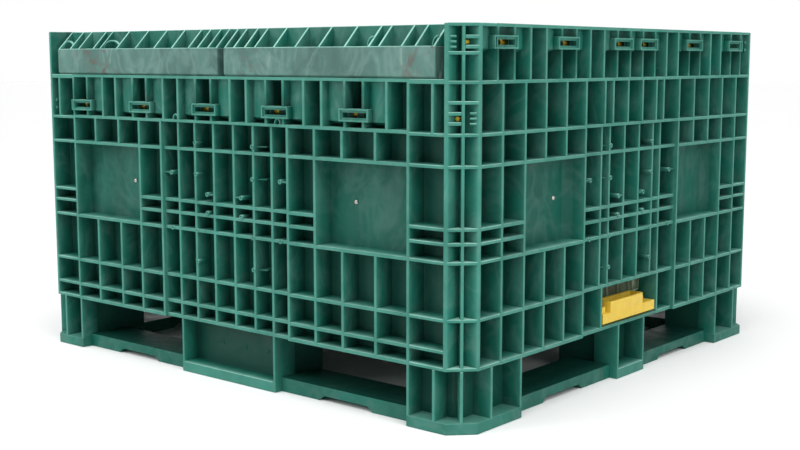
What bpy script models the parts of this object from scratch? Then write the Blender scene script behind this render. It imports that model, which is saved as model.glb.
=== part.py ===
"""Collapsible bulk storage crate, folded flat, on its own pallet base.

Frame: origin at the middle of the footprint on the floor, +Z up, +X to the side
with the discharge gate's handle, -Y to the side with the low sill.
All sizes are metres. Each fold-down wall's origin lies on its hinge axis.
"""

from math import cos, pi, radians, sin

import bmesh
import bpy
from mathutils import Matrix, Vector

# ---------------------------------------------------------------- overall size
LENGTH = 1.219            # along X, 48 in
WIDTH = 1.143             # along Y, 45 in
RIM_Z = 0.715             # top of the base tub
GAP = 0.0003              # between pieces that touch
CORNER_CHAMFER = 0.041

# ---------------------------------------------------------------- tub walls
WALL_THICKNESS = 0.048
RIB_DEPTH = 0.042
RIB = 0.007
LEDGE_Z = 0.121           # bottom rail of the tub walls
SILL_FRONT_Z = 0.620      # top of the low front wall
SILL_BACK_Z = 0.531       # top of the lower back wall
ARM_X = 0.4835            # where a corner post takes over from the front wall
ARM_Y = 0.485             # where a corner post takes over from a side wall
RAIL_HEIGHTS = (0.2095, 0.309, 0.367, 0.474, 0.5275, 0.6165)
RAIL_TO_TOP = 0.045       # least distance from a rail to the wall's top
FRONT_RIBS = (-0.404, -0.323, -0.185, -0.087, 0.0, 0.087, 0.185, 0.323, 0.404)
SIDE_RIBS = (-0.393, -0.329, -0.188, -0.117, 0.0, 0.117, 0.188, 0.329, 0.393)
BAND_RIB_REACH = 0.030    # from a hinge's middle to the solid's edge beside it

# ---------------------------------------------------------------- pallet base
DECK_THICKNESS = 0.014
FOOT_HEIGHT = 0.030
CORNER_LEG_X = 0.4795     # inner end of a corner leg, along X
CORNER_LEG_Y = 0.3935     # inner end of a corner leg, along Y
CENTRE_LEG_FRONT = (-0.139, 0.139)
CENTRE_LEG_SIDE = (-0.038, 0.072)
CENTRE_LEG_INSET = 0.0065
CENTRE_LEG_DEPTH = 0.150
SKID_INSET = 0.025
SKID_DEPTH = 0.100
SKID_HEIGHT = 0.028

# ---------------------------------------------------------------- hinges
PIN_RADIUS = 0.005
PIN_SIDES = 12
BORE_RADIUS = 0.0056
KNUCKLE_RADIUS = 0.012
KNUCKLE_WIDTH = 0.036
POCKET_WIDTH = 0.046
POCKET_CLEAR = 0.0015
KNUCKLE_HALF_HEIGHT = 0.010
SLOT_WIDTH = 0.038
SLOT_HEIGHT = 0.010
HINGE_PITCH = 0.2027
FRONT_HINGE_CENTRE = -0.0504
END_HINGES = (-0.4545, -0.2525, -0.0505, 0.0505, 0.2525, 0.4545)
END_AXIS_INSET = 0.0315
END_AXIS_Z = 0.683
SIDE_AXIS_INSET = 0.0335
FRONT_AXIS_Z = 0.553
BACK_AXIS_Z = 0.464

# ---------------------------------------------------------------- fold-down walls
PANEL_THICKNESS = 0.048
END_WALL_HALF = 0.568     # half its width, across the tub
END_WALL_LENGTH = 0.532   # its height when it stands up
END_WALL_OFFSET = 0.037   # from the hinge axis to its bottom edge
END_WALL_DEPTH = 0.0935   # over the corner returns
END_WALL_CHAMFER = 0.038
RETURN_WIDTH = 0.045
SIDE_WALL_HALF = 0.5145
SIDE_WALL_OFFSET = 0.0685
ERECT_TOP_Z = END_AXIS_Z + END_WALL_OFFSET + END_WALL_LENGTH

# ---------------------------------------------------------------- hopper and gate
HOPPER_TOP_Z = 0.440
HOPPER_BOTTOM_Z = 0.158
HOPPER_SKIN = 0.006
THROAT_HALF = 0.140
THROAT_Z = 0.175
DECK_HOLE_HALF = 0.150
GATE_HALF = 0.170
GATE_BOTTOM_Z = 0.1505
GATE_THICKNESS = 0.006
TONGUE_HALF = 0.040
TONGUE_END = 0.5645
GUIDE_LENGTH = (-0.185, 0.500)
GUIDE_WEB = 0.014
GUIDE_LIP = 0.017
HANDLE_HALF = 0.1115
HANDLE_X = (0.565, 0.603)
HANDLE_Z = (0.1285, 0.156)
GRIP_HALF = (-0.070, 0.066)
GRIP_TOP_Z = 0.180
GRIP_WALL = 0.006
HANDLE_OPENING_HALF = 0.1145
HANDLE_OPENING_Z = (0.1275, 0.2025)
SCREW_RADIUS = 0.0045
SCREW_BORE = 0.0052

GREEN = (0.022, 0.150, 0.102, 1.0)
DARK_GREEN = (0.018, 0.110, 0.078, 1.0)
YELLOW = (0.780, 0.560, 0.050, 1.0)
STEEL = (0.55, 0.55, 0.53, 1.0)


def clear_scene():
    for old in list(bpy.data.objects):
        bpy.data.objects.remove(old, do_unlink=True)


def plastic(name, colour, roughness=0.5, metallic=0.0):
    material = bpy.data.materials.new(name + "_finish")
    material.use_nodes = True
    shader = material.node_tree.nodes["Principled BSDF"]
    shader.inputs["Base Color"].default_value = colour
    shader.inputs["Roughness"].default_value = roughness
    shader.inputs["Metallic"].default_value = metallic
    return material


def make_object(name, bm, colour=GREEN, roughness=0.5, metallic=0.0):
    bmesh.ops.recalc_face_normals(bm, faces=bm.faces)
    mesh = bpy.data.meshes.new(name)
    bm.to_mesh(mesh)
    bm.free()
    made = bpy.data.objects.new(name, mesh)
    bpy.context.scene.collection.objects.link(made)
    mesh.materials.append(plastic(name, colour, roughness, metallic))
    return made


def add_box(bm, low, high):
    """A box between two corners."""
    size = [h - l for l, h in zip(low, high)]
    middle = [(h + l) / 2 for l, h in zip(low, high)]
    place = Matrix.Translation(middle) @ Matrix.Diagonal((*size, 1.0))
    return bmesh.ops.create_cube(bm, size=1.0, matrix=place)["verts"]


def add_prism(bm, outline, low, high, axis="Z"):
    """An outline in the two other axes, pulled along one axis."""
    def place(a, b, c):
        return {"Z": (a, b, c), "X": (c, a, b), "Y": (a, c, b)}[axis]
    bottom = [bm.verts.new(place(a, b, low)) for a, b in outline]
    face = bm.faces.new(bottom)
    raised = bmesh.ops.extrude_face_region(bm, geom=[face])["geom"]
    step = Vector(place(0, 0, high - low))
    bmesh.ops.translate(bm, vec=step, verts=[v for v in raised if isinstance(v, bmesh.types.BMVert)])


def add_rod(bm, radius, low, high, centre=(0.0, 0.0), sides=PIN_SIDES, axis="X"):
    outline = [(centre[0] + radius * cos(2 * pi * k / sides), centre[1] + radius * sin(2 * pi * k / sides))
               for k in range(sides)]
    add_prism(bm, outline, low, high, axis)


def combine(target, tool_mesh, operation):
    """Join or cut with the EXACT Boolean, then keep only the result."""
    tool = make_object("tool", tool_mesh)
    boolean = target.modifiers.new("shape", "BOOLEAN")
    boolean.operation = operation
    boolean.solver = "EXACT"
    boolean.object = tool
    bpy.context.view_layer.update()
    graph = bpy.context.evaluated_depsgraph_get()
    result = bpy.data.meshes.new_from_object(target.evaluated_get(graph))
    target.modifiers.clear()
    old = target.data
    name = old.name
    target.data = result
    bpy.data.meshes.remove(old)
    result.name = name
    tool_data = tool.data
    bpy.data.objects.remove(tool, do_unlink=True)
    bpy.data.meshes.remove(tool_data)


def cells_between(ribs, rails, rib=RIB):
    """The openings that a grid of ribs and rails leaves, as rectangles."""
    half = rib / 2
    return [(u0 + half, u1 - half, w0 + half, w1 - half)
            for u0, u1 in zip(ribs, ribs[1:]) for w0, w1 in zip(rails, rails[1:])]


def add_ribbed_slab(bm, bounds, cells, thickness, rib_depth):
    """A slab in X and Z whose -Y face is a grid of deep cells.

    bounds is (x low, x high, z low, z high); the front face lies at y = 0.
    """
    x_low, x_high, z_low, z_high = bounds
    xs = sorted({x_low, x_high, *(c[0] for c in cells), *(c[1] for c in cells)})
    zs = sorted({z_low, z_high, *(c[2] for c in cells), *(c[3] for c in cells)})
    grid = [[bm.verts.new((x, 0.0, z)) for z in zs] for x in xs]
    front = {}
    for i in range(len(xs) - 1):
        for j in range(len(zs) - 1):
            corner = (grid[i][j], grid[i + 1][j], grid[i + 1][j + 1], grid[i][j + 1])
            front[i, j] = bm.faces.new(corner)
    rim = [e for e in bm.edges if e.is_boundary]
    walls = bmesh.ops.extrude_edge_only(bm, edges=rim)["geom"]
    rear = [v for v in walls if isinstance(v, bmesh.types.BMVert)]
    bmesh.ops.translate(bm, vec=(0, thickness, 0), verts=rear)
    bmesh.ops.contextual_create(bm, geom=[e for e in bm.edges if e.is_boundary])
    for x0, x1, z0, z1 in cells:
        inside = [face for (i, j), face in front.items()
                  if x0 - 1e-6 < xs[i] < x1 - 1e-6 and z0 - 1e-6 < zs[j] < z1 - 1e-6]
        pushed = bmesh.ops.extrude_face_region(bm, geom=inside)["geom"]
        moved = [v for v in pushed if isinstance(v, bmesh.types.BMVert)]
        bmesh.ops.translate(bm, vec=(0, rib_depth, 0), verts=moved)
        bmesh.ops.delete(bm, geom=inside, context="FACES")
    bmesh.ops.dissolve_limit(bm, angle_limit=radians(0.05), verts=bm.verts, edges=bm.edges)


# ------------------------------------------------------------------ tub walls
def hinge_band_cells(hinges, reach, low, high):
    """The cells between one knuckle pocket and the next."""
    stops = [-reach - BAND_RIB_REACH + RIB, *hinges, reach + BAND_RIB_REACH - RIB]
    return [(a + BAND_RIB_REACH, b - BAND_RIB_REACH, low, high) for a, b in zip(stops, stops[1:])
            if b - a > 2 * BAND_RIB_REACH + RIB]


def tub_wall(name, half, reach, ribs, top_z, hinges, axis_inset, axis_z, turn):
    """One ribbed wall of the tub, built facing -Y and then turned about Z."""
    rails = tuple(z for z in RAIL_HEIGHTS if z < top_z - RAIL_TO_TOP)
    levels = (LEDGE_Z + RIB / 2, *rails, top_z - RIB / 2)
    cells = cells_between((-reach, *ribs, reach), levels)
    band = [c for c in cells if c[3] > axis_z > c[2]]
    cells = [c for c in cells if c not in band] + hinge_band_cells(hinges, reach, band[0][2], band[0][3])
    cells = [(max(c[0], -reach + RIB), min(c[1], reach - RIB), c[2], c[3]) for c in cells]
    bm = bmesh.new()
    add_ribbed_slab(bm, (-reach + GAP, reach - GAP, LEDGE_Z, top_z), cells, WALL_THICKNESS, RIB_DEPTH)
    bmesh.ops.translate(bm, vec=(0, -half, 0), verts=bm.verts)
    wall = make_object(name, bm)
    knuckle_room = KNUCKLE_RADIUS + POCKET_CLEAR
    pockets = bmesh.new()
    slots = bmesh.new()
    for along in hinges:
        add_box(pockets, (along - POCKET_WIDTH / 2, -half + axis_inset - knuckle_room, axis_z - knuckle_room),
                (along + POCKET_WIDTH / 2, -half + WALL_THICKNESS + 0.002, top_z + 0.002))
        add_box(slots, (along - SLOT_WIDTH / 2, -half - 0.002, axis_z - SLOT_HEIGHT / 2),
                (along + SLOT_WIDTH / 2, -half + axis_inset, axis_z + SLOT_HEIGHT / 2))
    combine(wall, pockets, "DIFFERENCE")
    combine(wall, slots, "DIFFERENCE")
    wall.rotation_euler = (0.0, 0.0, radians(turn))
    return wall


def front_hinges():
    return [FRONT_HINGE_CENTRE + HINGE_PITCH * k for k in range(-2, 3)]


def tub_walls():
    half_w = WIDTH / 2
    half_l = LENGTH / 2
    tub_wall("tub_wall_front", half_w, ARM_X, FRONT_RIBS, SILL_FRONT_Z, front_hinges(),
             SIDE_AXIS_INSET, FRONT_AXIS_Z, 0)
    tub_wall("tub_wall_back", half_w, ARM_X, FRONT_RIBS, SILL_BACK_Z, front_hinges(),
             SIDE_AXIS_INSET, BACK_AXIS_Z, 180)
    right = tub_wall("tub_wall_right", half_l, ARM_Y, SIDE_RIBS, RIM_Z, END_HINGES,
                     END_AXIS_INSET, END_AXIS_Z, 90)
    tub_wall("tub_wall_left", half_l, ARM_Y, SIDE_RIBS, RIM_Z, END_HINGES,
             END_AXIS_INSET, END_AXIS_Z, 270)
    opening = bmesh.new()
    low_z, high_z = HANDLE_OPENING_Z
    add_box(opening, (-HANDLE_OPENING_HALF, -half_l - 0.01, low_z),
            (HANDLE_OPENING_HALF, -half_l + WALL_THICKNESS + 0.01, high_z))
    unturned = right.rotation_euler.copy()
    right.rotation_euler = (0.0, 0.0, 0.0)
    combine(right, opening, "DIFFERENCE")
    right.rotation_euler = unturned


# ------------------------------------------------------------------ corner posts
def corner_post(name, sign_x, sign_y):
    """An L-shaped post with its outer corner cut at 45 degrees, on its pallet leg."""
    x1, y1 = LENGTH / 2, WIDTH / 2
    c = CORNER_CHAMFER
    t = WALL_THICKNESS
    lower = [(ARM_X + GAP, y1), (x1 - c, y1), (x1, y1 - c), (x1, ARM_Y + GAP),
             (x1 - t, ARM_Y + GAP), (x1 - t, y1 - t), (ARM_X + GAP, y1 - t)]
    upper = [(x1 - c, y1), (x1, y1 - c), (x1, ARM_Y + GAP), (x1 - t, ARM_Y + GAP),
             (x1 - t, y1 - t), (x1 - c, y1 - t)]
    leg = [(CORNER_LEG_X, CORNER_LEG_Y), (CORNER_LEG_X, y1), (x1 - c, y1), (x1, y1 - c), (x1, CORNER_LEG_Y)]
    bm = bmesh.new()
    add_prism(bm, lower, FOOT_HEIGHT, SILL_FRONT_Z)
    post = make_object(name, bm)
    overlap = 0.004
    storeys = ((upper, SILL_FRONT_Z - overlap, RIM_Z), (leg, 0.0, LEDGE_Z - GAP))
    for outline, low, high in storeys:
        storey = bmesh.new()
        add_prism(storey, outline, low, high)
        combine(post, storey, "UNION")
    mirror_mesh(post, sign_x, sign_y)
    return post


def mirror_mesh(made, sign_x, sign_y):
    bm = bmesh.new()
    bm.from_mesh(made.data)
    bmesh.ops.scale(bm, vec=(sign_x, sign_y, 1.0), verts=bm.verts)
    bmesh.ops.recalc_face_normals(bm, faces=bm.faces)
    bm.to_mesh(made.data)
    bm.free()


def corner_posts():
    for name, sign_x, sign_y in (("corner_post_front_right", 1, -1), ("corner_post_front_left", -1, -1),
                                 ("corner_post_back_right", 1, 1), ("corner_post_back_left", -1, 1)):
        corner_post(name, sign_x, sign_y)


# ------------------------------------------------------------------ pallet base
def deck():
    """The flat floor over the fork tunnels, with the discharge hole in its middle."""
    half_x = LENGTH / 2 - WALL_THICKNESS - GAP
    half_y = WIDTH / 2 - WALL_THICKNESS - GAP
    low = LEDGE_Z + 0.005
    bm = bmesh.new()
    add_box(bm, (-half_x, -half_y, low), (half_x, half_y, low + DECK_THICKNESS))
    plate = make_object("pallet_deck", bm)
    hole = bmesh.new()
    add_box(hole, (-DECK_HOLE_HALF, -DECK_HOLE_HALF, low - 0.01),
            (DECK_HOLE_HALF, DECK_HOLE_HALF, low + DECK_THICKNESS + 0.01))
    combine(plate, hole, "DIFFERENCE")


def centre_leg(name, span, half, turn):
    """A hollow-fronted leg in the middle of one side, with a foot plate under it."""
    front = -half + CENTRE_LEG_INSET
    low, high = span
    bm = bmesh.new()
    add_box(bm, (low, front, 0.0), (high, front + CENTRE_LEG_DEPTH, LEDGE_Z - GAP))
    leg = make_object(name, bm)
    recess = bmesh.new()
    add_box(recess, (low + RIB, front - 0.01, FOOT_HEIGHT), (high - RIB, front + RIB_DEPTH, LEDGE_Z - RIB))
    combine(leg, recess, "DIFFERENCE")
    leg.rotation_euler = (0.0, 0.0, radians(turn))


def centre_legs():
    centre_leg("centre_leg_front", CENTRE_LEG_FRONT, WIDTH / 2, 0)
    centre_leg("centre_leg_right", CENTRE_LEG_SIDE, LENGTH / 2, 90)
    centre_leg("centre_leg_back", CENTRE_LEG_FRONT, WIDTH / 2, 180)
    centre_leg("centre_leg_left", CENTRE_LEG_SIDE, LENGTH / 2, 270)


def skid(name, low, high, half, turn):
    """A runner that joins two legs along the floor, with sloped notches under it."""
    notch = 0.012
    rise = 0.010
    third = (high - low) / 3
    outline = [(low, 0.0), (low + third - notch, 0.0), (low + third, rise), (high - third, rise),
               (high - third + notch, 0.0), (high, 0.0), (high, SKID_HEIGHT), (low, SKID_HEIGHT)]
    front = -half + SKID_INSET
    bm = bmesh.new()
    add_prism(bm, outline, front, front + SKID_DEPTH, axis="Y")
    runner = make_object(name, bm)
    runner.rotation_euler = (0.0, 0.0, radians(turn))


def skids():
    spans_x = ((-CORNER_LEG_X + GAP, CENTRE_LEG_FRONT[0] - GAP), (CENTRE_LEG_FRONT[1] + GAP, CORNER_LEG_X - GAP))
    spans_y = ((-CORNER_LEG_Y + GAP, CENTRE_LEG_SIDE[0] - GAP), (CENTRE_LEG_SIDE[1] + GAP, CORNER_LEG_Y - GAP))
    for side, spans, half, turn in (("front", spans_x, WIDTH / 2, 0), ("right", spans_y, LENGTH / 2, 90),
                                    ("back", spans_x, WIDTH / 2, 180), ("left", spans_y, LENGTH / 2, 270)):
        for number, (low, high) in enumerate(spans, start=1):
            skid(f"skid_{side}_{number}", low, high, half, turn)


# ------------------------------------------------------------------ hopper and gate
def loop_at(bm, half_x, half_y, z):
    corners = ((-half_x, -half_y), (half_x, -half_y), (half_x, half_y), (-half_x, half_y))
    return [bm.verts.new((x, y, z)) for x, y in corners]


def bridge(bm, loops):
    for lower, upper in zip(loops, loops[1:]):
        for k in range(len(lower)):
            n = (k + 1) % len(lower)
            bm.faces.new((lower[k], lower[n], upper[n], upper[k]))


def hopper():
    """The sloping floor that leads the load to the outlet in the middle."""
    top_x = LENGTH / 2 - WALL_THICKNESS - 0.001
    top_y = WIDTH / 2 - WALL_THICKNESS - 0.001
    skin = HOPPER_SKIN
    bm = bmesh.new()
    loops = [loop_at(bm, THROAT_HALF, THROAT_HALF, HOPPER_BOTTOM_Z),
             loop_at(bm, THROAT_HALF, THROAT_HALF, THROAT_Z + skin),
             loop_at(bm, top_x - skin, top_y - skin, HOPPER_TOP_Z),
             loop_at(bm, top_x, top_y, HOPPER_TOP_Z),
             loop_at(bm, top_x, top_y, HOPPER_TOP_Z - 2 * skin),
             loop_at(bm, THROAT_HALF + skin, THROAT_HALF + skin, THROAT_Z),
             loop_at(bm, THROAT_HALF + skin, THROAT_HALF + skin, HOPPER_BOTTOM_Z)]
    bridge(bm, loops + loops[:1])
    make_object("hopper_floor", bm, DARK_GREEN)


def gate_guides():
    """Two channels on the deck that carry the gate plate's edges."""
    deck_top = LEDGE_Z + 0.005 + DECK_THICKNESS
    low_z = deck_top + GAP
    lip_top = GATE_BOTTOM_Z - GAP
    web_top = HOPPER_BOTTOM_Z
    inner = GATE_HALF + 2 * GAP
    for name, sign in (("gate_guide_near", -1), ("gate_guide_far", 1)):
        outline = [(sign * (inner - GUIDE_LIP), low_z), (sign * (inner + GUIDE_WEB), low_z),
                   (sign * (inner + GUIDE_WEB), web_top), (sign * inner, web_top),
                   (sign * inner, lip_top), (sign * (inner - GUIDE_LIP), lip_top)]
        bm = bmesh.new()
        add_prism(bm, outline, *GUIDE_LENGTH, axis="X")
        make_object(name, bm, DARK_GREEN)


def gate_plate():
    """The slide gate under the outlet, with the tongue that its handle pulls."""
    top = GATE_BOTTOM_Z + GATE_THICKNESS
    outline = [(-GATE_HALF, -GATE_HALF), (GATE_HALF, -GATE_HALF), (GATE_HALF, -TONGUE_HALF),
               (TONGUE_END, -TONGUE_HALF), (TONGUE_END, TONGUE_HALF), (GATE_HALF, TONGUE_HALF),
               (GATE_HALF, GATE_HALF), (-GATE_HALF, GATE_HALF)]
    bm = bmesh.new()
    add_prism(bm, outline, GATE_BOTTOM_Z, top)
    make_object("slide_gate", bm, DARK_GREEN, 0.4)


def gate_handle():
    """The yellow pull: a long low block that carries a box-shaped grip, open on top."""
    x0, x1 = HANDLE_X
    z0, z1 = HANDLE_Z
    y0, y1 = GRIP_HALF
    bm = bmesh.new()
    add_box(bm, (x0, -HANDLE_HALF, z0), (x1, HANDLE_HALF, z1))
    handle = make_object("gate_handle", bm, YELLOW, 0.4)
    inner_x = x0 + GRIP_WALL
    outer_x = x1 - GRIP_WALL
    for name, low, high in (("grip_wall_outer", (outer_x, y0), (x1, y1)),
                            ("grip_wall_inner", (x0, y0), (inner_x, y1)),
                            ("grip_end_near", (inner_x + GAP, y0), (outer_x - GAP, y0 + GRIP_WALL)),
                            ("grip_end_far", (inner_x + GAP, y1 - GRIP_WALL), (outer_x - GAP, y1))):
        bm = bmesh.new()
        add_box(bm, (*low, z1 + GAP), (*high, GRIP_TOP_Z))
        make_object(name, bm, YELLOW, 0.4)
    screw_x = (x0 + x1) / 2
    for number, screw_y in ((1, -0.092), (2, 0.092)):
        bore = bmesh.new()
        add_rod(bore, SCREW_BORE, z0 + 0.008, z1 + 0.01, (screw_x, screw_y), axis="Z")
        combine(handle, bore, "DIFFERENCE")
        screw = bmesh.new()
        add_rod(screw, SCREW_RADIUS, z0 + 0.008 + GAP, z1 + 0.003, (screw_x, screw_y), axis="Z")
        make_object(f"handle_screw_{number}", screw, STEEL, 0.3, 1.0)


# ------------------------------------------------------------------ fold-down walls
def add_knuckles(wall, hinges, offset):
    """Short arms from the wall's bottom edge to its hinge axis, each with a bore."""
    arms = bmesh.new()
    for along in hinges:
        outline = [(offset + 0.004, -KNUCKLE_HALF_HEIGHT), (offset + 0.004, KNUCKLE_HALF_HEIGHT)]
        for k in range(9):
            angle = radians(90 + 22.5 * k)
            outline.append((KNUCKLE_RADIUS * cos(angle), KNUCKLE_RADIUS * sin(angle)))
        add_prism(arms, outline, along - KNUCKLE_WIDTH / 2, along + KNUCKLE_WIDTH / 2, axis="X")
    combine(wall, arms, "UNION")
    bores = bmesh.new()
    for along in hinges:
        add_rod(bores, BORE_RADIUS, along - KNUCKLE_WIDTH, along + KNUCKLE_WIDTH)
    combine(wall, bores, "DIFFERENCE")


def fold_panel_mesh(half, offset, length, face_z, inset_x):
    """A ribbed panel that lies flat, its outer face up, from y = offset inwards."""
    columns = 6
    rows = 5
    xs = [-half + inset_x + (2 * half - 2 * inset_x) * k / columns for k in range(columns + 1)]
    zs = [length * k / rows for k in range(rows + 1)]
    zs[0] += RIB / 2
    zs[-1] -= RIB / 2
    bm = bmesh.new()
    add_ribbed_slab(bm, (-half, half, 0.0, length), cells_between(xs, zs), PANEL_THICKNESS, RIB_DEPTH)
    lay_flat = Matrix(((1, 0, 0, 0), (0, 0, 1, offset), (0, -1, 0, face_z), (0, 0, 0, 1)))
    bmesh.ops.transform(bm, matrix=lay_flat, verts=bm.verts)
    return bm


def end_wall(name, turn):
    """A fold-down end wall with deep corner returns along both of its edges."""
    face_z = END_AXIS_INSET - GAP * 3
    bm = fold_panel_mesh(END_WALL_HALF, END_WALL_OFFSET, END_WALL_LENGTH, face_z, END_WALL_CHAMFER)
    wall = make_object(name, bm)
    bottom = face_z - END_WALL_DEPTH
    for sign in (-1, 1):
        side = bmesh.new()
        outer = sign * END_WALL_HALF
        inner = sign * (END_WALL_HALF - RETURN_WIDTH)
        outline = [(inner, bottom), (outer, bottom), (outer, face_z - PANEL_THICKNESS + 0.004),
                   (inner, face_z - PANEL_THICKNESS + 0.004)]
        add_prism(side, outline, END_WALL_OFFSET, END_WALL_OFFSET + END_WALL_LENGTH, axis="Y")
        combine(wall, side, "UNION")
        cut = bmesh.new()
        c = END_WALL_CHAMFER
        over = 0.01
        outline = [(outer - sign * c - sign * over, face_z + over), (outer + sign * over, face_z + over),
                   (outer + sign * over, face_z - c - over)]
        add_prism(cut, outline, END_WALL_OFFSET - over, END_WALL_OFFSET + END_WALL_LENGTH + over, axis="Y")
        combine(wall, cut, "DIFFERENCE")
    add_knuckles(wall, END_HINGES, END_WALL_OFFSET)
    place_on_axis(wall, LENGTH / 2 - END_AXIS_INSET, END_AXIS_Z, turn)


def side_wall(name, axis_z, offset, turn):
    """A flat fold-down side wall, which stands between the end walls' returns."""
    length = ERECT_TOP_Z - axis_z - offset
    bm = fold_panel_mesh(SIDE_WALL_HALF, offset, length, SIDE_AXIS_INSET - GAP, RIB / 2)
    wall = make_object(name, bm)
    add_knuckles(wall, front_hinges(), offset)
    place_on_axis(wall, WIDTH / 2 - SIDE_AXIS_INSET, axis_z, turn)


def place_on_axis(wall, distance, axis_z, turn):
    """Turn a wall that faces -Y, and put its origin on its hinge axis."""
    angle = radians(turn)
    wall.rotation_euler = (0.0, 0.0, angle)
    wall.location = (distance * sin(angle), -distance * cos(angle), axis_z)


def hinge_pins(side, hinges, distance, axis_z, turn):
    length = POCKET_WIDTH - 2 * GAP
    for number, along in enumerate(hinges, start=1):
        bm = bmesh.new()
        add_rod(bm, PIN_RADIUS, along - length / 2, along + length / 2)
        pin = make_object(f"hinge_pin_{side}_{number}", bm, YELLOW, 0.35)
        place_on_axis(pin, distance, axis_z, turn)


def folding_walls():
    side_distance = WIDTH / 2 - SIDE_AXIS_INSET
    end_distance = LENGTH / 2 - END_AXIS_INSET
    side_wall("side_wall_front", FRONT_AXIS_Z, SIDE_WALL_OFFSET, 0)
    side_wall("side_wall_back", BACK_AXIS_Z, SIDE_WALL_OFFSET, 180)
    end_wall("end_wall_right", 90)
    end_wall("end_wall_left", 270)
    hinge_pins("front", front_hinges(), side_distance, FRONT_AXIS_Z, 0)
    hinge_pins("back", front_hinges(), side_distance, BACK_AXIS_Z, 180)
    hinge_pins("right", END_HINGES, end_distance, END_AXIS_Z, 90)
    hinge_pins("left", END_HINGES, end_distance, END_AXIS_Z, 270)


def build():
    clear_scene()
    tub_walls()
    corner_posts()
    deck()
    centre_legs()
    skids()
    hopper()
    gate_guides()
    gate_plate()
    gate_handle()
    folding_walls()


build()
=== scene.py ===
"""Looks of a folded bulk storage crate: ribbed tub, fold-down walls, pallet base and gate handle.

Laid out as an add-on and run as a script. Each operator adds one group of pieces round the
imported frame. Lengths are metres. A side of the tub is drawn as if it faced -Y, with u along
the side, depth going inwards and z up, and is then turned into its place.
"""

from math import cos, pi, radians, sin

import bmesh
import bpy
from mathutils import Matrix, Vector


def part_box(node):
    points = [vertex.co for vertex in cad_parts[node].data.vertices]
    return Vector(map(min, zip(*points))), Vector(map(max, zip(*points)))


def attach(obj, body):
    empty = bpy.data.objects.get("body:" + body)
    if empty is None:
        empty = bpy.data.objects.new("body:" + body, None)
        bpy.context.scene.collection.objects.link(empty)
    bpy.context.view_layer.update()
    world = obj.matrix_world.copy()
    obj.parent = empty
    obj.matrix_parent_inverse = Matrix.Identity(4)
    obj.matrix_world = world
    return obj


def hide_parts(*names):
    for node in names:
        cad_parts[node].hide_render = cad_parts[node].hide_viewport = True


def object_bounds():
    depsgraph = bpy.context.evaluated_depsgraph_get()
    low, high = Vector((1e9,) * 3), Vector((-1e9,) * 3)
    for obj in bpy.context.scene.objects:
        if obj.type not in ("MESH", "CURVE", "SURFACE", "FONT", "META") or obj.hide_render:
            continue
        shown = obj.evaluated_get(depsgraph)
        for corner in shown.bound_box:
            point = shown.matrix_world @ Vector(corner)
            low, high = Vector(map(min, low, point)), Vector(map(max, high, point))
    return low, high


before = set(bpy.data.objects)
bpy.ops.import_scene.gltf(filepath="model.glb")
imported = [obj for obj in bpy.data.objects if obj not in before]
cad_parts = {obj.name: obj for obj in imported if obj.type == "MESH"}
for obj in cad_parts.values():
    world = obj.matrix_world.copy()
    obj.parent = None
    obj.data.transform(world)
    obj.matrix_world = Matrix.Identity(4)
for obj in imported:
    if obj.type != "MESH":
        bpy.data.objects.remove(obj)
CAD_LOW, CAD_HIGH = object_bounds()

bl_info = {
    "name": "Folded storage crate",
    "version": (1, 0, 0),
    "blender": (4, 5, 0),
    "location": "View3D > Sidebar > Crate",
    "description": "Adds the mouldings, walls, handle and finishes of a folded bulk crate",
    "category": "Add Mesh",
}

# ---- layout of the mouldings
CLEARANCE = 0.00005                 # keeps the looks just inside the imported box
HALF_X, HALF_Y, RIM = (side - CLEARANCE for side in CAD_HIGH)
TURNS = {"front": (0, HALF_Y), "right": (90, HALF_X), "back": (180, HALF_Y), "left": (270, HALF_X)}
CHAMFER = 0.041                     # of the upright corners
LEDGE = 0.113                       # underside of the tub
WALL_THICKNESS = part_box("tub_wall_front")[1].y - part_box("tub_wall_front")[0].y

# Heights of the middles of the rails, from the ledge up.
RAIL_LEDGE = LEDGE + 0.0035
RAIL_SHORT_ROW = 0.147
RAIL_LOW = 0.2030
RAIL_FINE = (0.304, 0.337, 0.3625)
RAIL_MID = 0.4705
RAIL_UPPER = 0.5250
RAIL_SILL = 0.6145
POST_RAILS = (RAIL_LOW, *RAIL_FINE, RAIL_MID, RAIL_UPPER, 0.580, RAIL_SILL, 0.664)
BAND_BELOW_AXIS = 0.0255
FOOT = 0.0205

# Distances of the middles of the ribs from the middle of a side.
LONG_CENTRE = (0.0294, 0.0858, 0.137)
LONG_OUTER = (0.186, 0.257, 0.3265, 0.4075, 0.4835)
LONG_LABEL = (0.257, 0.4835)
LONG_BAND = (0.028, 0.0745, 0.129, 0.176, 0.230, 0.276, 0.334, 0.379, 0.434, 0.4835)
SHORT_CENTRE = (0.0294, 0.0872, 0.1185)
SHORT_OUTER = (0.188, 0.2565, 0.326, 0.3925, 0.4625)
SHORT_LABEL = (0.188, 0.3925)
SHORT_BAND_PITCH = 0.0505
SHORT_BAND_END = 0.4798
HANDLE_BAY = (-0.1040, 0.1195)
POST_BAND_RIB = 0.537
HANDLE_SHELF = 0.1445

# Half widths and half heights of what surrounds each hinge pin.
FRAME = (0.0360, 0.0115)
SLOT = (0.0290, 0.0048)
POCKET = (0.023, 0.0135)
TUNNEL = (0.043, 0.0085)
ROD_RADIUS = 0.0052
ROD_END = {"front": 0.553, "right": 0.683}    # heights of the rod ends in the cut corners
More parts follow.
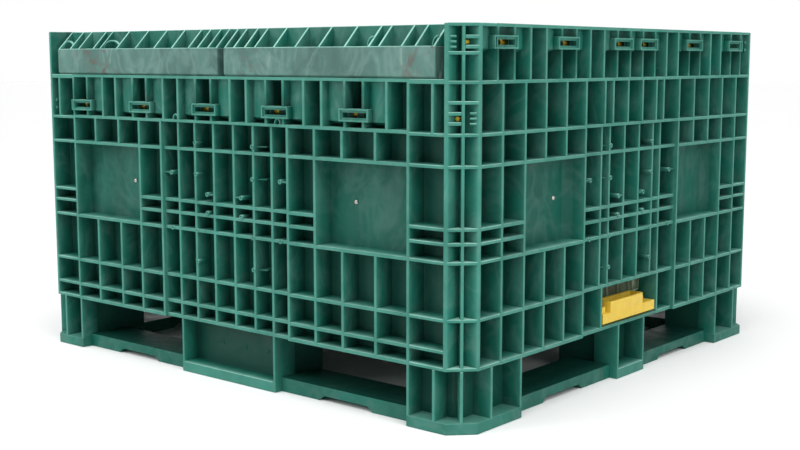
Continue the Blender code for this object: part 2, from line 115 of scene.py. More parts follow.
# Small tubes of the middle fields: distance from the middle, height, and how each is tied.
BOSSES = ((0.084, 0.484, "brace"), (0.083, 0.420, "brace"), (0.160, 0.420, "outward"), (0.050, 0.381, "inward"),
          (0.050, 0.343, "stem"), (0.083, 0.304, ""), (0.160, 0.304, ""), (0.083, 0.240, "brace"))
END_WALL_RIBS = (0.0035, 0.045, 0.076, 0.128, 0.152, 0.210, 0.274, 0.335, 0.392, 0.444, 0.472, 0.503)
END_WALL_CHAMFER = 0.038
END_WALL_OFFSET = 0.037             # from the hinge axis to the wall's bottom edge
SIDE_WALL_OFFSET = 0.0685
FOLD_THICKNESS = 0.0478             # of the ribbed part of a fold-down wall
FOLD_CELL_DEPTH = 0.040
RETURN_WIDTH = 0.0445
SCREWS = {"front": (0.325, 0.39), "right": (0.2355, 0.39), "back": (0.325, 0.37), "left": (0.2355, 0.39)}

CAMERA_AZIMUTH = radians(39.92)
CAMERA_PITCH = radians(7.62)


# ---- properties
def length(name, default, description):
    return bpy.props.FloatProperty(name=name, description=description, default=default,
                                   min=0.0, unit="LENGTH", subtype="DISTANCE", precision=4)


def colour(name, default, description):
    return bpy.props.FloatVectorProperty(name=name, description=description, default=default,
                                         size=4, min=0.0, max=1.0, subtype="COLOR")


class CrateSizes(bpy.types.PropertyGroup):
    """Sizes of the moulded ribs."""
    rib: length("Rib", 0.0057, "Thickness of a rib or rail at its front edge")
    cell_depth: length("Cell depth", 0.042, "From the front of the ribs to the skin")
    draft: length("Draft", 0.0012, "How much a cell narrows on each side towards its skin")
    recess: length("Centre recess", 0.0065, "How far the middle field of a side is set back")
    edge: length("Edge rounding", 0.0017, "Rounding of every moulded edge")
    swell: length("Panel swell", 0.002, "How far the smooth panels of the end walls stand forward")


class CrateColours(bpy.types.PropertyGroup):
    """Colours of the finishes."""
    green: colour("Green", (0.010, 0.148, 0.108, 1.0), "Main colour of the mouldings")
    # Painted shade: the dark green that cell bottoms, recesses and unlit faces are mixed toward.
    hollow: colour("Hollow green", (0.003, 0.052, 0.036, 1.0), "Bottoms of the cells")
    # Partly real rubbed wear, partly painted light: the pale colour of the most exposed rib fronts, as if lit.
    rubbed: colour("Rubbed green", (0.080, 0.310, 0.245, 1.0), "Ribs and rails that are rubbed pale")
    bloom: colour("Bloom", (0.160, 0.290, 0.250, 1.0), "Pale flow streaks and scuffs")
    grime: colour("Grime", (0.120, 0.070, 0.060, 1.0), "Brown stains")
    dusty: colour("Dusty green", (0.080, 0.180, 0.155, 1.0), "Smooth bars of the folded walls")
    # Painted highlight: the pale colour painted on the rounded upper edges of the rails, where they face the
    # overhead light.
    painted_highlight: colour("Rail tops", (0.340, 0.620, 0.530, 1.0), "Upper edges of rails, where light dust settles")
    scratch: colour("Scratches", (0.420, 0.500, 0.470, 1.0), "Scratches among the stains")
    bay: colour("Bay", (0.105, 0.125, 0.050, 1.0), "Lining behind the gate handle")
    yellow: colour("Yellow", (0.740, 0.520, 0.060, 1.0), "Gate handle and hinge pins")
    amber: colour("Amber", (0.600, 0.370, 0.030, 1.0), "Darker yellow, in the hollows")
    steel: colour("Steel", (0.620, 0.600, 0.570, 1.0), "Screw heads")
    floor: colour("Floor", (0.900, 0.905, 0.905, 1.0), "Studio floor")


def sizes():
    return bpy.context.scene.crate_sizes


def colours():
    return bpy.context.scene.crate_colours


# ---- finishes
def add_node(tree, kind, **values):
    made = tree.nodes.new(kind)
    for key, value in values.items():
        setattr(made, key, value)
    return made


def noise(tree, coords, scale, detail=4.0, distortion=0.0, stretch=(1.0, 1.0, 1.0)):
    mapping = add_node(tree, "ShaderNodeMapping")
    mapping.inputs["Scale"].default_value = stretch
    tree.links.new(coords, mapping.inputs["Vector"])
    made = add_node(tree, "ShaderNodeTexNoise")
    made.inputs["Scale"].default_value = scale
    made.inputs["Detail"].default_value = detail
    made.inputs["Distortion"].default_value = distortion
    tree.links.new(mapping.outputs["Vector"], made.inputs["Vector"])
    return made.outputs["Fac"]


def ramp(tree, factor, *stops):
    """A grey ramp; each stop is (position, value)."""
    made = add_node(tree, "ShaderNodeValToRGB")
    elements = made.color_ramp.elements
    while len(elements) < len(stops):
        elements.new(0.5)
    for element, (position, value) in zip(elements, stops):
        element.position = position
        element.color = (value, value, value, 1.0)
    tree.links.new(factor, made.inputs["Fac"])
    return made.outputs["Color"]


def feed(tree, sockets, values):
    """Links each value that is a socket, and sets each value that is a number or colour."""
    for socket, value in zip(sockets, values):
        if isinstance(value, bpy.types.NodeSocket):
            tree.links.new(value, socket)
        else:
            socket.default_value = value


def blend_colour(tree, factor, base, top):
    made = add_node(tree, "ShaderNodeMix", data_type="RGBA")
    tree.links.new(factor, made.inputs["Factor"])
    feed(tree, made.inputs[6:8], (base, top))
    return made.outputs[2]


def arithmetic(tree, operation, first, second):
    made = add_node(tree, "ShaderNodeMath", operation=operation)
    feed(tree, made.inputs, (first, second))
    return made.outputs["Value"]


def start_material(name, roughness, metallic=0.0):
    material = bpy.data.materials.new(name)
    material.use_nodes = True
    tree = material.node_tree
    shader = tree.nodes["Principled BSDF"]
    shader.inputs["Roughness"].default_value = roughness
    shader.inputs["Metallic"].default_value = metallic
    shader.inputs["Specular IOR Level"].default_value = 0.25
    coords = add_node(tree, "ShaderNodeTexCoord").outputs["Object"]
    return material, tree, shader, coords


def relief(tree, height, strength, distance):
    made = add_node(tree, "ShaderNodeBump")
    made.inputs["Strength"].default_value = strength
    made.inputs["Distance"].default_value = distance
    tree.links.new(height, made.inputs["Height"])
    return made


def finish_surface(tree, shader, coords, tint, low_rough, high_rough, grain, waviness):
    """Joins colour, uneven gloss and two scales of relief to the shader."""
    tree.links.new(tint, shader.inputs["Base Color"])
    uneven = noise(tree, coords, 26.0, 5.0, 0.6)
    rough = ramp(tree, uneven, (0.3, low_rough), (0.7, high_rough))
    tree.links.new(rough, shader.inputs["Roughness"])
    fine = relief(tree, noise(tree, coords, 520.0, 3.0), grain, 0.0006)
    broad = relief(tree, noise(tree, coords, 22.0, 3.0, 0.8), waviness, 0.003)
    tree.links.new(fine.outputs["Normal"], broad.inputs["Normal"])
    tree.links.new(broad.outputs["Normal"], shader.inputs["Normal"])


def moulded_green(name, wear_and_light=0.62, streaks=0.26, stain=0.0, base=None, shade=0.8, top_shade=0.0):
    """Structural-foam plastic: swirled flow marks, pale streaks, rib edges that are partly rubbed pale and
    partly painted lit, painted shade in the cells and a painted highlight on upward edges.
    """
    shades = colours()
    material, tree, shader, coords = start_material(name, 0.5)
    body = base or shades.green[:]
    swirl = noise(tree, coords, 7.0, 6.0, 1.8, (1.0, 1.0, 0.45))
    dark = [0.7 * part for part in body[:3]] + [1.0]
    tint = blend_colour(tree, ramp(tree, swirl, (0.35, 0.0), (0.62, 1.0)), dark, body)
    cloud = noise(tree, coords, 24.0, 6.0, 1.0)
    tint = blend_colour(tree, ramp(tree, cloud, (0.45, 0.0), (0.80, streaks)), tint, shades.bloom[:])
    lines = noise(tree, coords, 6.0, 8.0, 2.2, (1.0, 1.0, 0.6))
    thin = ramp(tree, lines, (0.44, 0.0), (0.50, streaks * 0.7), (0.56, 0.0))
    tint = blend_colour(tree, thin, tint, shades.bloom[:])
    # Painted shade: faces with a low exposure, such as cell bottoms and recesses, are mixed toward the hollow
    # green by the shade amount.
    exposure = add_node(tree, "ShaderNodeAttribute", attribute_name="exposure").outputs["Fac"]
    painted_cell_shade = ramp(tree, exposure, (0.0, shade), (0.55, 0.0))
    tint = blend_colour(tree, painted_cell_shade, tint, shades.hollow[:])
    # The most exposed faces, the rib fronts, take the rubbed green: partly real wear, partly painted light.
    edge = arithmetic(tree, "POWER", exposure, 6.0)
    patchy = ramp(tree, noise(tree, coords, 17.0, 5.0, 0.5), (0.25, 0.45), (0.7, 1.0))
    worn_and_lit = arithmetic(tree, "MULTIPLY", arithmetic(tree, "MULTIPLY", edge, patchy), wear_and_light)
    tint = blend_colour(tree, worn_and_lit, tint, shades.rubbed[:])
    facing = add_node(tree, "ShaderNodeSeparateXYZ")
    tree.links.new(add_node(tree, "ShaderNodeNewGeometry").outputs["Normal"], facing.inputs["Vector"])
    upward = ramp(tree, facing.outputs["Z"], (0.15, 0.0), (0.60, 0.95))
    # Painted shade: upward faces, such as the skid tops under the deck, are darkened toward the hollow green.
    if top_shade:
        painted_top_shade = ramp(tree, facing.outputs["Z"], (0.6, 0.0), (0.9, top_shade))
        tint = blend_colour(tree, painted_top_shade, tint, shades.hollow[:])
    # Painted highlight: exposed edges that face upwards are mixed toward the pale rail-top colour.
    painted_highlight = arithmetic(tree, "MULTIPLY", arithmetic(tree, "MULTIPLY", upward, edge), patchy)
    tint = blend_colour(tree, painted_highlight, tint, shades.painted_highlight[:])
    if stain:
        blot = noise(tree, coords, 3.2, 3.0, 0.6)
        speckle = noise(tree, coords, 45.0, 4.0, 0.8)
        spread = arithmetic(tree, "MULTIPLY", ramp(tree, blot, (0.52, 0.0), (0.62, 1.0)),
                            ramp(tree, speckle, (0.48, 0.0), (0.66, stain)))
        tint = blend_colour(tree, spread, tint, shades.grime[:])
        scratch = noise(tree, coords, 30.0, 2.0, 1.5, (1.0, 1.0, 0.25))
        scratched = arithmetic(tree, "MULTIPLY", ramp(tree, blot, (0.48, 0.0), (0.60, 1.0)),
                               ramp(tree, scratch, (0.60, 0.0), (0.70, 0.7)))
        tint = blend_colour(tree, scratched, tint, shades.scratch[:])
    finish_surface(tree, shader, coords, tint, 0.42, 0.64, 0.16, 0.20)
    return material


def moulded_yellow(name):
    """Solid yellow plastic with random patches of darker amber and pale scuffs."""
    shades = colours()
    material, tree, shader, coords = start_material(name, 0.42)
    cloud = noise(tree, coords, 40.0, 5.0, 0.8)
    amber = ramp(tree, cloud, (0.35, 0.35), (0.6, 0.0))
    tint = blend_colour(tree, amber, shades.yellow[:], shades.amber[:])
    scuff = noise(tree, coords, 160.0, 5.0, 2.0, (1.0, 0.3, 1.0))
    tint = blend_colour(tree, ramp(tree, scuff, (0.6, 0.0), (0.75, 0.5)), tint, shades.bloom[:])
    finish_surface(tree, shader, coords, tint, 0.32, 0.5, 0.12, 0.12)
    return material


def screw_metal(name):
    shades = colours()
    material, tree, shader, coords = start_material(name, 0.35, 1.0)
    tarnish = ramp(tree, noise(tree, coords, 300.0, 4.0), (0.4, 0.0), (0.75, 0.7))
    tint = blend_colour(tree, tarnish, shades.steel[:], shades.grime[:])
    finish_surface(tree, shader, coords, tint, 0.25, 0.5, 0.10, 0.05)
    return material


def finish_named(name):
    """Each finish is made once and then shared."""
    if name in bpy.data.materials:
        return bpy.data.materials[name]
    if name == "pale_studio_floor":
        material, tree, shader, coords = start_material(name, 0.9)
        grain = ramp(tree, noise(tree, coords, 3.0, 3.0), (0.3, 0.0), (0.7, 0.06))
        tint = blend_colour(tree, grain, colours().floor[:], (0.8, 0.8, 0.8, 1.0))
        tree.links.new(tint, shader.inputs["Base Color"])
        return material
    shades = colours()
    # Each shade amount sets how far low-exposure faces are painted dark as shade. CAD nodes carry no exposure
    # attribute, so they take the full amount.
    makers = {
        "tub_plastic": lambda: moulded_green(name),
        "pallet_plastic": lambda: moulded_green(name, 0.5, 0.12, shade=0.97),
        "skid_plastic": lambda: moulded_green(name, 0.0, 0.2, shade=0.2, top_shade=0.9),
        "wall_plastic": lambda: moulded_green(name, 1.0, 0.3, shade=0.6),
        "bar_plastic": lambda: moulded_green(name, 0.0, 0.55, 0.9, shades.dusty[:], 0.0),
        "hopper_plastic": lambda: moulded_green(name, 0.0, 0.25, 0.3, shade=0.5),
        "handle_plastic": lambda: moulded_yellow(name),
        "shadowed_plastic": lambda: moulded_green(name, 0.0, 0.05, shade=1.0),
        "bay_plastic": lambda: moulded_green(name, 0.3, 0.4, 0.5, shades.bay[:], 0.1),
        "pin_plastic": lambda: moulded_yellow(name),
        "screw_metal": lambda: screw_metal(name),
    }
    return makers[name]()


# ---- mesh helpers
def mesh_from(name, bm):
    mesh = bpy.data.meshes.new(name)
    bm.to_mesh(mesh)
    bm.free()
    return mesh


def add_object(name, data):
    made = bpy.data.objects.new(name, data)
    bpy.context.scene.collection.objects.link(made)
    return made


def verts_of(geometry):
    return [g for g in geometry if isinstance(g, bmesh.types.BMVert)]


def new_mesh():
    bm = bmesh.new()
    # exposure: how open a vert is; the green finishes paint low values dark as shade and high values pale, as
    # rubbed and lit edges.
    bm.verts.layers.float.new("exposure")
    return bm


def expose(bm, verts, value):
    layer = bm.verts.layers.float["exposure"]
    for vert in verts:
        vert[layer] = value


def add_prism(bm, outline, low, high, axis="Z", exposure=0.3):
    """An outline in the two other axes, pulled along one axis."""
    def place(a, b, c):
        return {"Z": (a, b, c), "X": (c, a, b), "Y": (a, c, b)}[axis]
    start = [bm.verts.new(place(a, b, low)) for a, b in outline]
    face = bm.faces.new(start)
    raised = verts_of(bmesh.ops.extrude_face_region(bm, geom=[face])["geom"])
    bmesh.ops.translate(bm, vec=Vector(place(0, 0, high - low)), verts=raised)
    expose(bm, start + raised, exposure)
    return start + raised


def add_box(bm, low, high, exposure=0.3):
    outline = [(low[0], low[1]), (high[0], low[1]), (high[0], high[1]), (low[0], high[1])]
    return add_prism(bm, outline, low[2], high[2], "Z", exposure)


def circle(radius, centre=(0.0, 0.0), sides=16):
    return [(centre[0] + radius * cos(2 * pi * k / sides), centre[1] + radius * sin(2 * pi * k / sides))
            for k in range(sides)]


def bridge(bm, loops):
    """Faces between each loop of verts and the next."""
    for first, second in zip(loops, loops[1:]):
        for k in range(len(first)):
            n = (k + 1) % len(first)
            bm.faces.new((first[k], first[n], second[n], second[k]))


def add_sleeve(bm, outer, inner, low, high, exposure=1.0):
    """A closed ring between two loops of the same length, standing along Y."""
    loops = [[bm.verts.new((a, y, b)) for a, b in ring] for ring, y in
             ((outer, low), (inner, low), (inner, high), (outer, high))]
    bridge(bm, loops + loops[:1])
    expose(bm, loops[0] + loops[1], exposure)


def add_standing_ring(bm, outer, inner, low, high):
    """A closed wall between two loops of the same length, standing along Z."""
    loops = [[bm.verts.new((a, b, z)) for a, b in ring] for ring, z in
             ((outer, low), (outer, high), (inner, high), (inner, low))]
    bridge(bm, loops + loops[:1])
    expose(bm, loops[1] + loops[2], 0.8)


def rectangle(left, right, low, high):
    return [(left, low), (right, low), (right, high), (left, high)]


def between(stops):
    """The clear spans between neighbouring ribs or rails."""
    half = sizes().rib / 2
    return [(a + half, b - half) for a, b in zip(stops, stops[1:])]


def both_ways(spans):
    return [(-b, -a) for a, b in reversed(spans)] + list(spans)


def spread(ribs):
    """The columns between ribs on both sides of the middle, with the one in the middle last."""
    half = sizes().rib / 2
    return both_ways(between(ribs)) + [(-ribs[0] + half, ribs[0] - half)]


def cells_at(columns, rows, depth=None, swell=0.0):
    depth = sizes().cell_depth if depth is None else depth
    return [(left, right, low, high, depth, swell) for left, right in columns for low, high in rows]


def add_lattice(bm, bounds, cells, front=0.0, rear=None):
    """A slab whose front is cut into deep cells, each narrowing a little towards its skin."""
    rear = WALL_THICKNESS if rear is None else rear
    left, right, low, high = bounds
    us = sorted({round(x, 5) for x in (left, right, *(c[0] for c in cells), *(c[1] for c in cells))})
    zs = sorted({round(x, 5) for x in (low, high, *(c[2] for c in cells), *(c[3] for c in cells))})
    grid = [[bm.verts.new((u, front, z)) for z in zs] for u in us]
    expose(bm, [v for column in grid for v in column], 1.0)
    faces = {}
    for i in range(len(us) - 1):
        for j in range(len(zs) - 1):
            corners = (grid[i][j], grid[i + 1][j], grid[i + 1][j + 1], grid[i][j + 1])
            faces[i, j] = bm.faces.new(corners)
    rim = [e for e in bm.edges if e.is_boundary]
    rear_verts = verts_of(bmesh.ops.extrude_edge_only(bm, edges=rim)["geom"])
    bmesh.ops.translate(bm, vec=(0, rear - front, 0), verts=rear_verts)
    expose(bm, rear_verts, 0.3)
    bmesh.ops.contextual_create(bm, geom=[e for e in bm.edges if e.is_boundary])
    draft = sizes().draft
    for u0, u1, z0, z1, depth, swell in cells:
        inside = [faces[i, j] for i in range(len(us) - 1) if u0 < (us[i] + us[i + 1]) / 2 < u1
                  for j in range(len(zs) - 1) if z0 < (zs[j] + zs[j + 1]) / 2 < z1]
        pushed = bmesh.ops.extrude_face_region(bm, geom=inside)["geom"]
        skin = [g for g in pushed if isinstance(g, bmesh.types.BMFace)]
        moved = verts_of(pushed)
        for vert in moved:
            vert.co.x = min(max(vert.co.x, u0 + draft), u1 - draft)
            vert.co.z = min(max(vert.co.z, z0 + draft), z1 - draft)
            vert.co.y = depth
        # Cell skins get a low exposure, so the finish paints them in shade, the small cells darkest.
        expose(bm, moved, 0.28 if u1 - u0 > 0.1 and z1 - z0 > 0.1 else 0.0)
        bmesh.ops.delete(bm, geom=inside, context="FACES")
        if swell:
            add_swell(bm, skin, min(0.3 * min(u1 - u0, z1 - z0), 0.012), swell)


def add_swell(bm, skin, margin, swell):
    bmesh.ops.recalc_face_normals(bm, faces=skin)
    bmesh.ops.inset_region(bm, faces=skin, thickness=margin, use_even_offset=True)
    raised = {v for face in skin for v in face.verts}
    bmesh.ops.translate(bm, vec=(0, -swell, 0), verts=list(raised))
    expose(bm, raised, 0.45)


def side_matrix(side):
    """From a side as it is drawn to its place in the tub."""
    return hinge_matrix(side, 0.0, 0.0)


def hinge_matrix(side, depth, height):
    """From a wall drawn round its hinge axis to its folded place in the crate."""
    degrees, half = TURNS[side]
    return Matrix.Rotation(radians(degrees), 4, "Z") @ Matrix.Translation((0, depth - half, height))


def cut(bm, cutter):
    """Takes the cutter's boxes out of a mesh with an exact Boolean."""
    made = []
    for name, source in (("cut_target", bm), ("cut_tool", cutter)):
        bmesh.ops.recalc_face_normals(source, faces=source.faces)
        made.append(add_object(name, mesh_from(name, source)))
    target, tool = made
    boolean = target.modifiers.new("pockets", "BOOLEAN")
    boolean.object = tool
    boolean.solver = "EXACT"
    bpy.context.view_layer.update()
    graph = bpy.context.evaluated_depsgraph_get()
    result = bmesh.new()
    shape = target.evaluated_get(graph).to_mesh()
    result.from_mesh(shape)
    target.evaluated_get(graph).to_mesh_clear()
    for old in made:
        mesh = old.data
        bpy.data.objects.remove(old, do_unlink=True)
        bpy.data.meshes.remove(mesh)
    return result


def turn(bm, matrix):
    bmesh.ops.transform(bm, matrix=matrix, verts=bm.verts)


def join(target, extra, matrix=None):
    """Adds one mesh to another, turned into its place if it needs to be, and frees it."""
    if matrix is not None:
        turn(extra, matrix)
    mesh = mesh_from("joining", extra)
    target.from_mesh(mesh)
    bpy.data.meshes.remove(mesh)


def soften(made, width, angle):
    bevel = made.modifiers.new("edges", "BEVEL")
    bevel.width = width
    bevel.segments = 2
    bevel.limit_method = "ANGLE"
    bevel.angle_limit = radians(angle)
    return bevel


def make_piece(name, bm, body, finish, replaces=(), edge=None, matrix=None, hidden=None):
    """Turns a mesh into a piece that rides on a body and stands for CAD nodes.

    Verts with an exposure under zero are never in the light, and take the hidden finish, a dark green that
    paints their shade.
    """
    if matrix is not None:
        turn(bm, matrix)
    bmesh.ops.recalc_face_normals(bm, faces=bm.faces)
    layer = bm.verts.layers.float["exposure"]
    for face in bm.faces:
        face.material_index = 1 if hidden and all(v[layer] < -0.5 for v in face.verts) else 0
    mesh = mesh_from(name, bm)
    mesh.materials.append(finish_named(finish))
    if hidden:
        mesh.materials.append(finish_named(hidden))
    mesh.shade_smooth()
    piece = add_object(name, mesh)
    bevel = soften(piece, sizes().edge if edge is None else edge, 38)
    bevel.harden_normals = True
    bevel.miter_outer = "MITER_ARC"
    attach(piece, body)
    if replaces:
        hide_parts(*replaces)
    return piece


# ---- tub sides
def pins_of(side):
    """Along, depth and height of each hinge pin, as the side is drawn."""
    back = side_matrix(side).inverted()
    found = []
    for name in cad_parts:
        if name.startswith(f"hinge_pin_{side}_"):
            low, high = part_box(name)
            found.append(back @ ((low + high) / 2))
    return sorted(found, key=lambda p: p.x)


def add_hinge_frames(bm, pins):
    """The frame round each slot; it breaks through the ribs and reaches into the cells beside."""
    for pin in pins:
        outer = rectangle(pin.x - FRAME[0], pin.x + FRAME[0], pin.z - FRAME[1], pin.z + FRAME[1])
        inner = rectangle(pin.x - SLOT[0], pin.x + SLOT[0], pin.z - SLOT[1], pin.z + SLOT[1])
        add_sleeve(bm, outer, inner, 0.0035, 0.0185, 0.85)
        wide, tall = FRAME[0] - 0.0004, FRAME[1] - 0.001
        for side in (-1, 1):
            lip = pin.z + side * (FRAME[1] - 0.0012)
            add_box(bm, (pin.x - wide, 0.0, lip - 0.0014), (pin.x + wide, 0.017, lip + 0.0014), 1.0)
            end = pin.x + side * (FRAME[0] - 0.0018)
            add_box(bm, (end - 0.0016, 0.0002, pin.z - tall), (end + 0.0016, 0.016, pin.z + tall), 1.0)


def add_housings(bm, pin, cells, top):
    """Bulged skins in the cells beside a slot; they hide the ends of its pin."""
    shoulder = pin.z - 0.0115
    for left, right in cells:
        left, right = left - 0.001, right + 0.001
        bulge = [(left + (right - left) * k / 8, 0.0172 - 0.0060 * sin(pi * k / 8)) for k in range(9)]
        outline = [*bulge, (right, 0.043), (left, 0.043)]
        add_prism(bm, outline, shoulder, top, "Z", 0.5)
        verts = add_prism(bm, outline, shoulder - 0.0095, shoulder + 0.0002, "Z", 0.4)
        for v in verts:
            if v.co.z < shoulder - 0.005 and v.co.y < 0.020:
                v.co.y += 0.020


def add_hinge_band(bm, reach, low, top, ribs, pins):
    """The top row of a side: slotted cells at the pins, housings beside them, open cells between."""
    rib = sizes().rib
    columns = spread(ribs)
    cells = cells_at(columns, [(low + rib / 2, top - rib)])
    band = new_mesh()
    add_lattice(band, (-reach, reach, low - rib / 2 + 0.0012, top), cells, 0.0004)
    housings = new_mesh()
    pockets = new_mesh()
    openings = new_mesh()
    for pin in pins:
        beside = [c for c in columns if not c[0] < pin.x < c[1] and abs((c[0] + c[1]) / 2 - pin.x) < 0.062]
        add_housings(housings, pin, beside, top - rib + 0.0008)
        add_box(pockets, (pin.x - POCKET[0], pin.y - POCKET[1], pin.z - POCKET[1]),
                (pin.x + POCKET[0], WALL_THICKNESS + 0.002, top + 0.002))
        add_box(openings, (pin.x - FRAME[0] + 0.002, -0.001, pin.z - FRAME[1] + 0.002),
                (pin.x + FRAME[0] - 0.002, 0.0186, pin.z + FRAME[1] - 0.002))
    join(bm, cut(cut(cut(band, pockets), tunnels_at(pins)), openings))
    join(bm, cut(housings, tunnels_at(pins)))
    add_hinge_frames(bm, pins)


def tunnels_at(pins):
    """Cutters for the hollows that hold the ends of the pins."""
    bm = new_mesh()
    for pin in pins:
        add_box(bm, (pin.x - TUNNEL[0], pin.y - POCKET[1] - 0.0003, pin.z - TUNNEL[1]),
                (pin.x + TUNNEL[0], pin.y + TUNNEL[1], pin.z + TUNNEL[1]))
    return bm


def add_bosses(bm, inner_rib, outer_rib, places):
    """Small tubes in the middle field, tied to the ribs by thin webs."""
    front = sizes().recess - 0.0015
    web = 0.0012
    for sign in (-1, 1):
        for along, height, tie in places:
            u = sign * along
            add_sleeve(bm, circle(0.0047, (u, height), 12), circle(0.0021, (u, height), 12), front, 0.030)
            if tie in ("outward", "inward"):
                low, high = sorted((u, sign * (outer_rib if tie == "outward" else inner_rib)))
                add_box(bm, (low, front + 0.001, height - web), (high, 0.036, height + web), 0.8)
            elif tie == "brace":
                low, high = sorted((u, sign * (along + 0.026)))
                verts = add_box(bm, (low, front + 0.006, height - web), (high, 0.040, height + web), 0.4)
                for v in verts:
                    v.co.y += 0.010 * abs(v.co.x - u) / 0.026
            elif tie == "stem":
                add_box(bm, (u - 0.0035, front + 0.001, RAIL_FINE[1]), (u + 0.0035, 0.036, height), 0.8)


def add_centre_field(bm, width, ribs, low, top, rows, bay=None):
    """The set-back middle field. A bay leaves the lowest row open for the gate handle."""
    recess = sizes().recess
    rib = sizes().rib
    clear = width - rib / 2
    columns = spread(ribs) + both_ways([(ribs[-1] + rib / 2, clear)])
    if bay is None:
        add_lattice(bm, (-width, width, low, top), cells_at(columns, rows), recess)
        return
    floor_row, upper_rows = rows[0], rows[1:]
    sill = floor_row[1] + 0.0002
    add_lattice(bm, (-width, width, sill, top), cells_at(columns, upper_rows), recess)
    for span, cell in (((-width, bay[0]), (-clear, bay[0] - rib)), ((bay[1], width), (bay[1] + rib, clear))):
        add_lattice(bm, (*span, low, sill + 0.001), cells_at([cell], [floor_row]), recess + 0.0002)
    add_box(bm, (bay[0] - 0.002, recess + 0.0004, low),
            (bay[1] + 0.002, WALL_THICKNESS, low + rib - 0.0006), 0.9)


def add_label_panels(bm, label, rib):
    """A thin fillet down one side of each smooth label panel, where its skin meets the rib."""
    depth = sizes().cell_depth
    for _, right in both_ways([(label[0] + rib / 2, label[1] - rib / 2)]):
        outline = [(right - 0.016, depth + 0.001), (right + 0.001, depth + 0.001),
                   (right + 0.001, depth - 0.022), (right - 0.004, depth - 0.008)]
        add_prism(bm, outline, RAIL_FINE[0], RAIL_MID, "Z", 0.25)


def add_flanks(bm, inner, reach, rail, cells):
    """The two mirrored fields beside the set-back middle one, under a rail."""
    half = sizes().rib / 2
    for sign in (-1, 1):
        left, right = sorted((sign * (inner - half), sign * reach))
        mirrored = cells if sign > 0 else [(-c[1], -c[0], *c[2:]) for c in cells]
        add_lattice(bm, (left, right, LEDGE, rail + half - 0.0012), mirrored)


def build_long_side(side, top, label_top):
    """The front or back of the tub, under its low sill."""
    bm = new_mesh()
    rib = sizes().rib
    pins = pins_of(side)
    band = pins[0].z - BAND_BELOW_AXIS
    reach = LONG_OUTER[-1] + rib / 2 - 0.0003
    rails = [RAIL_LEDGE, RAIL_SHORT_ROW, RAIL_LOW, *RAIL_FINE]
    rails += [RAIL_MID, band] if band > RAIL_MID + 0.02 else [band]
    rows = between(rails)
    short_rows = rows[:3] + ([rows[-1]] if label_top == RAIL_MID else [])
    first = between(LONG_OUTER[:2])
    others = between(LONG_OUTER[1:])
    label = [(LONG_LABEL[0] + rib / 2, LONG_LABEL[1] - rib / 2)]
    cells = cells_at(first, rows) + cells_at(others, short_rows)
    cells += cells_at(label, between((RAIL_FINE[0], label_top)))
    add_flanks(bm, LONG_OUTER[0], reach, band, cells)
    add_centre_field(bm, LONG_OUTER[0], LONG_CENTRE, LEDGE + 0.0002, band, rows)
    add_hinge_band(bm, reach, band, top, LONG_BAND, pins)
    add_bosses(bm, LONG_CENTRE[0], LONG_OUTER[0] - rib / 2, [b for b in BOSSES if b[1] < band - 0.02])
    if side == "front":
        add_label_panels(bm, LONG_LABEL, rib)
        centre = (-0.001, band + 0.056)
        for radius, wall in ((0.0135, 0.0022), (0.0075, 0.0030)):
            add_sleeve(bm, circle(radius, centre, 28), circle(radius - wall, centre, 28), 0.0395, 0.0435, 0.9)
        for u in (-0.139, 0.159):
            arc = [radians(180 * k / 10) for k in range(11)]
            outline = [(u + 0.0085 * cos(t), band + 0.0032 + 0.012 * sin(t)) for t in arc]
            outline += [(u + 0.006 * cos(t), band + 0.0032 + 0.0095 * sin(t)) for t in reversed(arc)]
            add_prism(bm, outline, 0.002, 0.012, "Y", 1.0)
    return bm


def build_short_side(side, top):
    """The right or left side of the tub, up to the rim. The right one has the handle's bay."""
    bm = new_mesh()
    rib = sizes().rib
    pins = pins_of(side)
    reach = SHORT_OUTER[-1] + rib / 2 - 0.0003
    rows = between([RAIL_LEDGE, RAIL_LOW, *RAIL_FINE, RAIL_MID, RAIL_UPPER])
    plain_rows = [rows[0], rows[1], rows[-1]]
    inner = [s for s in between(SHORT_OUTER) if s[1] < SHORT_LABEL[1]]
    last = between(SHORT_OUTER[-2:])
    label = [(SHORT_LABEL[0] + rib / 2, SHORT_LABEL[1] - rib / 2)]
    cells = cells_at(inner, plain_rows) + cells_at(last, rows)
    cells += cells_at(label, between((RAIL_FINE[0], RAIL_MID)))
    add_flanks(bm, SHORT_OUTER[0], reach, RAIL_UPPER, cells)
    bay = HANDLE_BAY if side == "right" else None
    add_centre_field(bm, SHORT_OUTER[0], SHORT_CENTRE, LEDGE + 0.0002, RAIL_UPPER, rows, bay)
    add_lattice(bm, (-reach, reach, RAIL_UPPER - rib / 2 + 0.0008, RAIL_SILL + rib / 2 - 0.0012),
                cells_at(spread((*SHORT_CENTRE, *SHORT_OUTER)), between((RAIL_UPPER, RAIL_SILL))), 0.0002)
    ribs = [SHORT_BAND_PITCH * (k + 0.5) for k in range(10)]
    ribs[-1] = SHORT_BAND_END
    add_hinge_band(bm, SHORT_BAND_END + rib / 2, RAIL_SILL, top, ribs, pins)
    add_bosses(bm, SHORT_CENTRE[0], SHORT_OUTER[0] - rib / 2, BOSSES)
    add_label_panels(bm, SHORT_LABEL, rib)
    return bm


